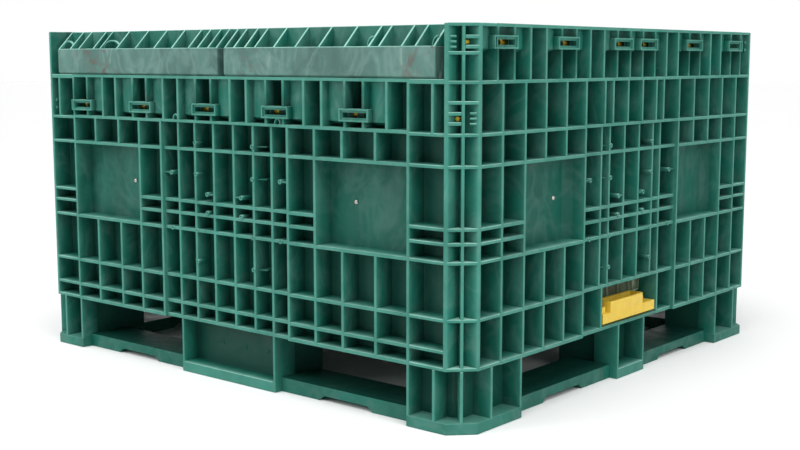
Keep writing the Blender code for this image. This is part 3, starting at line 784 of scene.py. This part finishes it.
class CRATE_OT_tub_sides(bpy.types.Operator):
    """Add the four ribbed sides of the tub"""
    bl_idname = "crate.tub_sides"
    bl_label = "Tub Sides"

    def execute(self, context):
        for side in ("front", "back"):
            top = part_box(f"tub_wall_{side}")[1].z
            label_top = RAIL_MID if side == "front" else pins_of(side)[0].z - BAND_BELOW_AXIS
            bm = build_long_side(side, top, label_top)
            make_piece(f"tub_side_{side}", bm, "base", "tub_plastic",
                       (f"tub_wall_{side}",), matrix=side_matrix(side))
        for side in ("right", "left"):
            bm = build_short_side(side, RIM)
            make_piece(f"tub_side_{side}", bm, "base", "tub_plastic",
                       (f"tub_wall_{side}",), matrix=side_matrix(side))
        return {"FINISHED"}


# ---- corner posts
def add_post_face(bm, start, end, rails, top, extra=(), front=0.0003):
    """One flat face of a post: a column of cells, with an extra rib in the rows named in extra."""
    cells = []
    for low, high in between(rails):
        stops = [start, *(rib_at for rib_at, row in extra if low < row < high), end]
        cells += [(a, b, low, high, sizes().cell_depth, 0.0) for a, b in between(stops)]
    cells = [(max(c[0], start + 0.0025), *c[1:]) for c in cells]
    add_lattice(bm, (start - 0.0003, end - 0.0004, rails[0] - 0.0035 + 0.0004, top), cells, front)


def build_post():
    """The front right corner. Its rails wrap round the cut corner; the others are mirrored."""
    bm = new_mesh()
    rib = sizes().rib
    x1, y1 = HALF_X, HALF_Y
    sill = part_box("tub_wall_front")[1].z
    front = new_mesh()
    face_end = x1 - CHAMFER
    rails = [RAIL_LEDGE, RAIL_SHORT_ROW, RAIL_LOW, *RAIL_FINE, RAIL_MID, RAIL_UPPER, RAIL_SILL]
    add_post_face(front, LONG_OUTER[-1], face_end, rails, sill, ((POST_BAND_RIB, 0.56),))
    join(bm, front, side_matrix("front"))
    right = new_mesh()
    rails = [RAIL_LEDGE, RAIL_LOW, *RAIL_FINE, RAIL_MID, RAIL_UPPER, RAIL_SILL]
    face_end = y1 - CHAMFER
    add_post_face(right, SHORT_OUTER[-1], face_end, rails, RAIL_SILL + 0.003)
    add_post_face(right, SHORT_BAND_END, face_end, [RAIL_SILL, RIM - rib / 2], RIM, front=0.0005)
    column = (SHORT_BAND_END + rib / 2, face_end - rib / 2)
    add_housings(right, pins_of("right")[-1], [column], RIM - rib + 0.0008)
    join(bm, right, side_matrix("right") @ Matrix.Diagonal((-1, 1, 1, 1)))
    outer = [(x1 - CHAMFER, -y1), (x1, -y1 + CHAMFER)]
    middle = (x1 - CHAMFER / 2, -y1 + CHAMFER / 2)
    inner = (x1 - CHAMFER, -y1 + CHAMFER)
    wedge = [*outer, inner]
    for rail in (RAIL_LEDGE, *POST_RAILS, RIM - rib / 2):
        add_prism(bm, wedge, rail - rib / 2, rail + rib / 2, "Z", 1.0)
    low, high = LEDGE + 0.0005, RIM - 0.0005
    step = rib / 2 * 0.7071
    front_rib = [(outer[0][0] - rib, -y1 + 0.00005), (outer[0][0], -y1 + 0.00005),
                 (outer[0][0] + 0.0020, -y1 + 0.0022), (inner[0] + 0.002, inner[1]), (inner[0] - rib, inner[1])]
    side_rib = [(x1 - 0.00005, outer[1][1] + rib), (x1 - 0.00005, outer[1][1]),
                (x1 - 0.0022, outer[1][1] - 0.0020), (inner[0], inner[1] - 0.002), (inner[0], inner[1] + rib)]
    middle_rib = [(middle[0] - step, middle[1] - step), (middle[0] + step, middle[1] + step),
                  (inner[0] + 2 * step, inner[1]), (inner[0], inner[1] - 2 * step)]
    for outline in (front_rib, side_rib):
        add_corner_rib(bm, outline, low, high, 0.2, 0.0062)
    add_corner_rib(bm, [(a - 0.0002, b + 0.0002) for a, b in middle_rib], low, high, 0.1, 0.004)
    heart = [(inner[0] - rib, inner[1] - 0.002), (inner[0] + 0.002, inner[1] - 0.002),
             (inner[0] + 0.002, inner[1] + rib), (inner[0] - rib, inner[1] + rib)]
    add_prism(bm, heart, low, high, "Z", 0.0)
    add_box(bm, (x1 - WALL_THICKNESS + 0.0004, -y1 + 0.0004, sill - 0.001),
            (inner[0] - 0.0004, inner[1] + 0.001, RIM - 0.0007), 0.6)
    add_post_fins(bm, middle, outer)
    add_corner_leg(bm)
    return bm


def add_corner_rib(bm, outline, low, high, hidden, depth):
    """An upright rib of the cut corner; only its front edge is rubbed pale and painted lit, and the rest is
    painted in shade.
    """
    verts = add_prism(bm, outline, low, high, "Z", hidden)
    expose(bm, [v for v in verts if v.co.x - v.co.y > HALF_X + HALF_Y - CHAMFER - depth], 1.0)


def add_post_fins(bm, middle, outer):
    """Short fins in two cells of the cut corner, and the slot lips round the rod ends in two others."""
    inward = Vector((-0.7071, 0.7071))
    front, right = ROD_END["front"], ROD_END["right"]
    fins, lips = (-0.009, 0.0, 0.009), (-0.0085, 0.0085)
    for centre, end, steps, (start, stop), depths, half in (
            (right, outer[0], fins, (0.18, 0.60), (0.002, 0.004, 0.012, 0.009), 0.0019),
            (front, outer[1], fins, (0.18, 0.60), (0.002, 0.004, 0.012, 0.009), 0.0019),
            (right, outer[1], lips, (0.05, 0.90), (0.0, 0.0, 0.014, 0.014), 0.003),
            (front, outer[0], lips, (0.05, 0.90), (0.0, 0.0, 0.014, 0.014), 0.003)):
        toward = Vector(middle) - Vector(end)
        a, b = Vector(end) + toward * start, Vector(end) + toward * stop
        outline = [tuple(point + inward * depth) for point, depth in zip((a, b, b, a), depths)]
        for step in steps:
            add_prism(bm, outline, centre + step - half, centre + step + half, "Z", 1.0)


def add_corner_leg(bm):
    """The pallet leg under a post: a foot plate, a set-back core and ribs flush with the tub."""
    x1, y1 = HALF_X, HALF_Y
    rib = sizes().rib
    low_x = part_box("corner_post_front_right")[0].x
    high_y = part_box("corner_post_front_right")[1].y
    top = LEDGE - 0.0003
    foot = [(low_x, high_y), (low_x, -y1 + 0.0003), (x1 - CHAMFER, -y1 + 0.0003), (x1 - 0.0003, -y1 + CHAMFER),
            (x1 - 0.0003, high_y)]
    add_prism(bm, foot, 0.0, FOOT, "Z", 0.75)
    deep = 0.040
    core = [(low_x + 0.001, high_y - 0.001), (low_x + 0.001, -y1 + deep), (x1 - CHAMFER - 0.014, -y1 + deep),
            (x1 - deep, -y1 + CHAMFER + 0.014), (x1 - deep, high_y - 0.001)]
    add_prism(bm, core, 0.004, top, "Z", 0.0)
    for along in (low_x + rib / 2, 0.541):
        verts = add_box(bm, (along - rib / 2, -y1 + 0.0006, FOOT - 0.001),
                        (along + rib / 2, -y1 + deep + 0.003, top), 0.1)
        expose(bm, [v for v in verts if v.co.y < -y1 + 0.002], 1.0)
    for along in (high_y - rib / 2, -0.488):
        verts = add_box(bm, (x1 - deep - 0.003, along - rib / 2, FOOT - 0.001),
                        (x1 - 0.0006, along + rib / 2, top), 0.1)
        expose(bm, [v for v in verts if v.co.x > x1 - 0.002], 1.0)
    a = x1 - CHAMFER / 2
    b = -y1 + CHAMFER / 2
    s = rib / 2 * 0.7071
    outline = [(a - s, b - s), (a + s, b + s), (a + s - 0.038, b + s + 0.038), (a - s - 0.038, b - s + 0.038)]
    add_corner_rib(bm, outline, FOOT - 0.001, top, 0.1, 0.003)


class CRATE_OT_corner_posts(bpy.types.Operator):
    """Add the four corner posts with their pallet legs"""
    bl_idname = "crate.corner_posts"
    bl_label = "Corner Posts"

    def execute(self, context):
        for name, sign_x, sign_y in (("front_right", 1, 1), ("front_left", -1, 1),
                                     ("back_right", 1, -1), ("back_left", -1, -1)):
            matrix = Matrix.Diagonal((sign_x, sign_y, 1, 1))
            make_piece(f"post_{name}", build_post(), "base", "tub_plastic",
                       (f"corner_post_{name}",), matrix=matrix)
        return {"FINISHED"}


# ---- pallet base
def build_centre_leg(side):
    """A leg in the middle of one side, with a deep recess over its foot."""
    back = side_matrix(side).inverted()
    low, high = (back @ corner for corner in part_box(f"centre_leg_{side}"))
    u0, u1 = sorted((low.x, high.x))
    rib = sizes().rib
    front = sizes().recess + 0.0003
    deep = min(low.y, high.y) + 0.1495
    bm = new_mesh()
    wide = u1 - u0 > 0.2
    depth = 0.046 if wide else 0.052
    cells = [(u0 + rib, u1 - rib, FOOT, LEDGE + 0.0002, depth, 0.0)]
    add_lattice(bm, (u0, u1, 0.0, LEDGE + 0.002), cells, front, front + 0.056)
    inset = 0.012
    add_box(bm, (u0 + inset, front + 0.050, 0.0005), (u1 - inset, deep, high.z), 0.1)
    if wide:
        for u in (u0 + 0.083, u0 + 0.152, u0 + 0.219):
            add_sleeve(bm, circle(0.0052, (u, 0.066), 14), circle(0.0030, (u, 0.066), 14),
                       depth - 0.0015, depth + 0.004, 0.3)
    return bm


class CRATE_OT_pallet_base(bpy.types.Operator):
    """Add the centre legs, and finish the deck, skids, hopper and gate guides"""
    bl_idname = "crate.pallet_base"
    bl_label = "Pallet Base"

    def execute(self, context):
        for side in TURNS:
            make_piece(f"middle_leg_{side}", build_centre_leg(side), "base", "pallet_plastic",
                       (f"centre_leg_{side}",), matrix=side_matrix(side))
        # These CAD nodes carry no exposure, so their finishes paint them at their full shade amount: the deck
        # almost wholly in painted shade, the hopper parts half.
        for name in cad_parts:
            if name.startswith("skid_"):
                finish_cad(name, "skid_plastic", 0.002)
            elif name == "pallet_deck":
                finish_cad(name, "pallet_plastic", 0.002)
            elif name == "hopper_floor" or name.startswith("gate_guide") or name == "slide_gate":
                finish_cad(name, "hopper_plastic", 0.001)
        return {"FINISHED"}


def finish_cad(name, finish, edge):
    """Gives a CAD node its finish and softened edges; its shape stays."""
    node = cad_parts[name]
    node.data.materials.clear()
    node.data.materials.append(finish_named(finish))
    soften(node, edge, 25)


# ---- fold-down walls
def add_knuckles(bm, side, offset):
    """The arms that reach from the wall's bottom edge round its hinge pins."""
    bore, shell, half = 0.0053, 0.0118, 0.0090
    for pin in pins_of(side):
        turns = [radians(90 + 180 * k / 12) for k in range(13)]
        outside = [(shell * cos(t), shell * sin(t)) for t in turns]
        hole = [(bore * cos(t), bore * sin(t)) for t in turns]
        upper = [(0.0, bore), (0.0, shell), (offset + 0.004, 0.010), (offset + 0.004, 0.0003), (bore, 0.0003)]
        lower = [(a, -b) for a, b in reversed(upper)]
        # Exposure -1: the knuckles take the shadowed finish, painted dark as shade.
        for outline in (upper, lower, outside + hole[::-1]):
            add_prism(bm, outline, pin.x - half, pin.x + half, "X", -1.0)
        add_box(bm, (pin.x - 0.018, offset - 0.010, -0.0095), (pin.x + 0.018, offset + 0.006, 0.0098), -1.0)


def lay_down(bm, offset, face_z):
    """Turns a lattice that faces -Y so that it faces up, its bottom edge at the offset."""
    turn(bm, Matrix(((1, 0, 0, 0), (0, 0, 1, offset), (0, -1, 0, face_z), (0, 0, 0, 1))))


def local_box(side, node, axis):
    """A folded wall's box as it is drawn: along, away from its hinge, and up from it."""
    back = hinge_matrix(side, axis.y, axis.z).inverted()
    corners = [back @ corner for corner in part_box(node)]
    return [Vector([min(c[k] for c in corners) for k in range(3)]),
            Vector([max(c[k] for c in corners) for k in range(3)])]


def build_end_wall(side):
    """An end wall: ribbed face and ribbed 45-degree flanks; it gives back the shape for the deep smooth return
    along each edge.
    """
    axis = pins_of(side)[0]
    low, high = local_box(side, f"end_wall_{side}", axis)
    offset, face, half, tip = END_WALL_OFFSET, high.z, high.x, high.y
    long = tip - offset
    rib = sizes().rib
    c = END_WALL_CHAMFER
    ribs = [*END_WALL_RIBS, long - 0.0035]
    rows = between(ribs)
    inner = half - c
    ribs_across = [-inner + 0.0035 + (2 * inner - 0.007) * k / 12 for k in range(13)]
    columns = between(ribs_across)
    bm = new_mesh()
    cells = []
    for i, column in enumerate(columns):
        for j, row in enumerate(rows):
            if not (2 <= i < 10 and 4 <= j <= 8):
                cells.append((*column, *row, FOLD_CELL_DEPTH, 0.0))
    left, right, bottom, top = columns[2][0], columns[9][1], rows[4][0], rows[8][1]
    middle = (bottom + top) / 2
    cells.append((left, right, bottom, middle - rib / 2, 0.018, sizes().swell))
    cells.append((left, right, middle + rib / 2, top, 0.018, sizes().swell))
    add_lattice(bm, (-inner, inner, 0.0, long), cells, 0.0, FOLD_THICKNESS)
    # The hinge edge gets exposure -1, so it takes the shadowed finish, painted dark as shade.
    expose(bm, [v for v in bm.verts if v.co.z < 0.0005], -1.0)
    lay_down(bm, offset, face)
    for sign in (-1, 1):
        for at in ribs:
            y = offset + at
            outline = [(sign * (inner - 0.002), face), (sign * inner, face), (sign * half, face - c),
                       (sign * half, face - c - 0.004), (sign * (inner - 0.002), face - c - 0.004)]
            verts = add_prism(bm, outline, y - 0.0021, y + 0.0021, "Y", 1.0)
            expose(bm, [v for v in verts if abs(v.co.x) < inner - 0.001], 0.2)
        skin = sorted((sign * (inner - 0.006), sign * (inner + 0.0004)))
        add_box(bm, (skin[0], offset + 0.0005, face - c - 0.002), (skin[1], tip - 0.0005, face - 0.0004), 0.5)
        add_hooks(bm, sign, half, face - c, offset, side == "left")
    add_knuckles(bm, side, offset)
    return bm, axis, (offset, tip, half, face - c, low.z)


def add_hooks(bm, sign, half, floor, offset, full):
    """Bent strips in two flank cells: whole arches on one wall, free hooks on the other."""
    for low, high in ((END_WALL_RIBS[0], END_WALL_RIBS[1]), (END_WALL_RIBS[4], END_WALL_RIBS[5])):
        middle = offset + (low + high) / 2 if full else offset + low
        reach = (high - low) / 2 if full else 0.013
        rise = 0.019
        arc = [radians((180 if full else 90) * k / 10) for k in range(11)]
        outline = [(middle + reach * cos(t), floor + rise * sin(t)) for t in arc]
        outline += [(middle + (reach - 0.003) * cos(t), floor + (rise - 0.003) * sin(t)) for t in reversed(arc)]
        centre = sign * (half - 0.014)
        add_prism(bm, outline, centre - 0.003, centre + 0.003, "X", 1.0)


def build_returns(shape):
    """The two smooth bars under an end wall's flanks."""
    offset, tip, half, top, floor = shape
    bm = new_mesh()
    for sign in (-1, 1):
        outer = sign * half
        inner = sign * (half - RETURN_WIDTH)
        corner = sign * 0.004
        outline = [(inner, floor), (outer - corner, floor), (outer, floor + 0.004), (outer, top), (inner, top)]
        verts = add_prism(bm, outline, offset, tip, "Y", 0.2)
        expose(bm, [v for v in verts if v.co.z > top - 0.001], 0.8)
        lip = rectangle(outer - sign * 0.0006, outer - corner, top - 0.006, top + 0.0008)
        add_prism(bm, lip, offset + 0.0005, tip - 0.0005, "Y", 1.0)
    return bm


def build_side_wall(side):
    """A flat fold-down wall that lies under the end walls."""
    axis = pins_of(side)[0]
    _, high = local_box(side, f"side_wall_{side}", axis)
    offset = SIDE_WALL_OFFSET
    long = high.y - offset
    inner = high.x
    stops = [-inner + 0.0035 + (2 * inner - 0.007) * k / 14 for k in range(15)]
    rows = between([0.0035 + (long - 0.007) * k / 8 for k in range(9)])
    bm = new_mesh()
    cells = cells_at(between(stops), rows, FOLD_CELL_DEPTH)
    add_lattice(bm, (-inner, inner, 0.0, long), cells, 0.0, FOLD_THICKNESS)
    lay_down(bm, offset, high.z)
    add_knuckles(bm, side, offset)
    return bm, axis


class CRATE_OT_folding_walls(bpy.types.Operator):
    """Add the two end walls and the two side walls, folded down"""
    bl_idname = "crate.folding_walls"
    bl_label = "Fold-down Walls"

    def execute(self, context):
        for side in ("right", "left"):
            bm, axis, shape = build_end_wall(side)
            place = hinge_matrix(side, axis.y, axis.z)
            make_piece(f"end_wall_face_{side}", bm, f"{side}_wall", "wall_plastic",
                       (f"end_wall_{side}",), matrix=place, hidden="shadowed_plastic")
            make_piece(f"end_wall_bars_{side}", build_returns(shape), f"{side}_wall",
                       "bar_plastic", edge=0.0015, matrix=place)
        for side in ("front", "back"):
            bm, axis = build_side_wall(side)
            make_piece(f"side_wall_face_{side}", bm, f"{side}_wall", "wall_plastic",
                       (f"side_wall_{side}",), matrix=hinge_matrix(side, axis.y, axis.z),
                       hidden="shadowed_plastic")
        return {"FINISHED"}


# ---- handle, pins and screws
def build_handle():
    """The yellow pull: low block, raised hollow grip, a round boss at its near end."""
    low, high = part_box("gate_handle")
    grip_low, grip_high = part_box("grip_wall_outer")
    x0, x1 = low.x, high.x
    bottom, shelf, top = 0.1245, HANDLE_SHELF, 0.1665
    near, far = low.y + 0.012, high.y
    y0, y1 = grip_low.y, grip_high.y + 0.004
    wall = 0.006
    bm = new_mesh()
    base = [(x0, near), (x1, near), (x1, far), (x0, far)]
    add_prism(bm, base, bottom, shelf, "Z", 0.6)
    bend = [radians(90 * k / 6) for k in range(7)]
    radius = 0.012
    outer = [(x0, y0), (x1 - 0.0002, y0)]
    outer += [(x1 - 0.0002 - radius + radius * cos(t), y1 - radius + radius * sin(t)) for t in bend]
    outer += [(x0 + radius - radius * sin(t), y1 - radius + radius * cos(t)) for t in bend]
    inner = [(min(max(a, x0 + wall), x1 - wall), min(max(b, y0 + wall), y1 - wall)) for a, b in outer]
    add_standing_ring(bm, outer, inner, shelf - 0.004, top)
    centre = ((x0 + x1) / 2 + 0.002, (near + y0) / 2 - 0.001)
    add_standing_ring(bm, circle(0.0118, centre, 24), circle(0.0072, centre, 24), shelf - 0.003, top - 0.009)
    add_box(bm, (x0 + 0.001, y1 - 0.002, shelf - 0.002), (x0 + 0.012, far - 0.001, shelf + 0.005), 0.6)
    return bm


def build_screw_head(radius):
    """A domed head with a shallow well in its middle, facing -Y."""
    bm = new_mesh()
    rings = [(radius, 0.0), (radius, -0.0012), (radius * 0.8, -0.0024), (radius * 0.45, -0.0031)]
    loops = [[bm.verts.new((a, y, b)) for a, b in circle(r)] for r, y in rings]
    bridge(bm, loops)
    bm.faces.new(loops[0])
    bmesh.ops.inset_individual(bm, faces=[bm.faces.new(loops[-1])], thickness=radius * 0.12)
    well = set(bm.verts) - {v for loop in loops for v in loop}
    bmesh.ops.translate(bm, vec=(0, 0.0014, 0), verts=list(well))
    return bm


class CRATE_OT_gate_handle(bpy.types.Operator):
    """Add the yellow gate handle, the lining of its bay, and finish its screws"""
    bl_idname = "crate.gate_handle"
    bl_label = "Gate Handle"

    def execute(self, context):
        nodes = ("gate_handle", "grip_wall_outer", "grip_wall_inner", "grip_end_near", "grip_end_far")
        make_piece("gate_pull", build_handle(), "gate", "handle_plastic", nodes, edge=0.0016)
        for number in (1, 2):
            low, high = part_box(f"handle_screw_{number}")
            shift = Matrix.Translation(((low.x + high.x) / 2, (low.y + high.y) / 2 * 0.93, HANDLE_SHELF))
            face_up = shift @ Matrix.Rotation(radians(-90), 4, "X")
            make_piece(f"handle_screw_head_{number}", build_screw_head(0.0040), "gate",
                       "screw_metal", (f"handle_screw_{number}",), 0.0002, face_up)
        lining = new_mesh()
        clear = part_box("slide_gate")[1].z + 0.003
        stops = [HANDLE_BAY[0] + (HANDLE_BAY[1] - HANDLE_BAY[0]) * k / 5 for k in range(6)]
        top = RAIL_LOW + 0.004
        front, skin, rear = (WALL_THICKNESS + behind for behind in (0.0005, 0.0045, 0.007))
        cells = cells_at(between(stops), [(clear + 0.003, top - 0.003)], skin)
        add_lattice(lining, (stops[0], stops[-1], clear, top), cells, front, rear)
        make_piece("handle_bay_lining", lining, "base", "bay_plastic",
                   matrix=side_matrix("right"))
        return {"FINISHED"}


class CRATE_OT_pins_and_screws(bpy.types.Operator):
    """Finish the hinge pins and add the screws of the label panels and the rod ends of the posts"""
    bl_idname = "crate.pins_and_screws"
    bl_label = "Pins and Screws"

    def execute(self, context):
        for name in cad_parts:
            if name.startswith("hinge_pin_"):
                finish_cad(name, "pin_plastic", 0.0008)
        rods = new_mesh()
        for side in TURNS:
            shown = new_mesh()
            for pin in pins_of(side):
                for sign in (-1, 1):
                    end = max(-SHORT_BAND_END, min(SHORT_BAND_END, pin.x + sign * 0.040))
                    span = sorted((pin.x + sign * 0.0098, end))
                    add_prism(shown, circle(ROD_RADIUS, (pin.y, pin.z), 20), *span, "X", 0.5)
            join(rods, shown, side_matrix(side))
        make_piece("hinge_rods", rods, "base", "pin_plastic", edge=0.0008)
        places = [(side, sign * u, height) for side, (u, height) in SCREWS.items() for sign in (-1, 1)]
        for number, (side, along, height) in enumerate(places, start=1):
            shift = Matrix.Translation((along, sizes().cell_depth, height))
            make_piece(f"panel_screw_{number}", build_screw_head(0.0048), "base", "screw_metal",
                       edge=0.0002, matrix=side_matrix(side) @ shift)
        ends = new_mesh()
        for signs in ((-1, -1), (-1, 1), (1, -1), (1, 1)):
            self.add_rod_ends(ends, *signs)
        make_piece("hinge_rod_ends", ends, "base", "handle_plastic", edge=0.0006)
        return {"FINISHED"}

    def add_rod_ends(self, bm, sign_x, sign_y):
        """The yellow ends of the hinge rods, seen in the cut corner of each post."""
        for centre, share in ((ROD_END["front"], 0.40), (ROD_END["right"], 0.60)):
            a = HALF_X - CHAMFER * (1 - share) - 0.010
            b = HALF_Y - CHAMFER * share - 0.010
            add_prism(bm, circle(0.0042, (sign_x * a, centre), 14),
                      *sorted((sign_y * (b - 0.004), sign_y * (b + 0.005))), "Y", 0.5)


# ---- stage
def aim(made, direction):
    made.rotation_euler = Vector(direction).to_track_quat("-Z", "Y").to_euler()


def area_light(name, place, target, power):
    light = bpy.data.lights.new(name, "AREA")
    light.shape = "SQUARE"
    light.size = 2.0
    light.energy = power
    made = add_object(name, light)
    made.location = place
    aim(made, Vector(target) - Vector(place))


class CRATE_OT_stage(bpy.types.Operator):
    """Add the floor, the soft studio light and the camera"""
    bl_idname = "crate.stage"
    bl_label = "Stage"

    def execute(self, context):
        scene = context.scene
        bm = bmesh.new()
        bmesh.ops.create_grid(bm, x_segments=4, y_segments=4, size=30.0)
        mesh = mesh_from("studio_floor", bm)
        mesh.materials.append(finish_named("pale_studio_floor"))
        floor = add_object("studio_floor", mesh)
        floor.location.z = -0.0005
        world = bpy.data.worlds.new("studio")
        scene.world = world
        world.use_nodes = True
        self.paint_world(world.node_tree)
        sun = bpy.data.lights.new("overhead", "SUN")
        sun.energy = 2.3
        sun.angle = radians(50)
        aim(add_object("overhead", sun), (-0.22, 0.34, -1.0))
        area_light("front_left", (-1.8, -3.8, 2.1), (0.0, 0.0, 0.4), 60.0)
        area_light("right", (3.9, -0.9, 2.1), (0.2, 0.0, 0.4), 46.0)
        lens = bpy.data.cameras.new("studio_camera")
        lens.lens = 55.85
        lens.sensor_width = 36.0
        camera = add_object("studio_camera", lens)
        camera.location = (1.8598, -2.2373, 0.654)
        level = cos(CAMERA_PITCH)
        aim(camera, (-sin(CAMERA_AZIMUTH) * level, cos(CAMERA_AZIMUTH) * level, -sin(CAMERA_PITCH)))
        scene.camera = camera
        scene.view_settings.view_transform = "Standard"
        return {"FINISHED"}

    def paint_world(self, tree):
        """An even grey light with a white backdrop beyond the crate."""
        direction = add_node(tree, "ShaderNodeTexCoord").outputs["Generated"]
        along = add_node(tree, "ShaderNodeVectorMath", operation="DOT_PRODUCT")
        tree.links.new(direction, along.inputs[0])
        along.inputs[1].default_value = (-sin(CAMERA_AZIMUTH), cos(CAMERA_AZIMUTH), 0.0)
        backdrop = ramp(tree, along.outputs["Value"], (0.80, 0.42), (0.93, 1.0))
        tree.links.new(backdrop, tree.nodes["Background"].inputs["Color"])


class CRATE_PT_panel(bpy.types.Panel):
    """Lists the crate's operators and settings"""
    bl_idname = "CRATE_PT_panel"
    bl_label = "Storage Crate"
    bl_space_type = "VIEW_3D"
    bl_region_type = "UI"
    bl_category = "Crate"

    def draw(self, context):
        for operator in OPERATORS:
            self.layout.operator(operator.bl_idname)
        for group in (context.scene.crate_sizes, context.scene.crate_colours):
            for name in group.__annotations__:
                self.layout.prop(group, name)


OPERATORS = (CRATE_OT_stage, CRATE_OT_tub_sides, CRATE_OT_corner_posts, CRATE_OT_pallet_base,
             CRATE_OT_folding_walls, CRATE_OT_gate_handle, CRATE_OT_pins_and_screws)
CLASSES = (CrateSizes, CrateColours, *OPERATORS, CRATE_PT_panel)


def register():
    for item in CLASSES:
        bpy.utils.register_class(item)
    bpy.types.Scene.crate_sizes = bpy.props.PointerProperty(type=CrateSizes)
    bpy.types.Scene.crate_colours = bpy.props.PointerProperty(type=CrateColours)


def unregister():
    del bpy.types.Scene.crate_colours
    del bpy.types.Scene.crate_sizes
    for item in reversed(CLASSES):
        bpy.utils.unregister_class(item)


def main():
    register()
    bpy.ops.crate.stage()
    bpy.ops.crate.tub_sides()
    bpy.ops.crate.corner_posts()
    bpy.ops.crate.pallet_base()
    bpy.ops.crate.folding_walls()
    bpy.ops.crate.gate_handle()
    bpy.ops.crate.pins_and_screws()


if __name__ == "__main__":
    main()
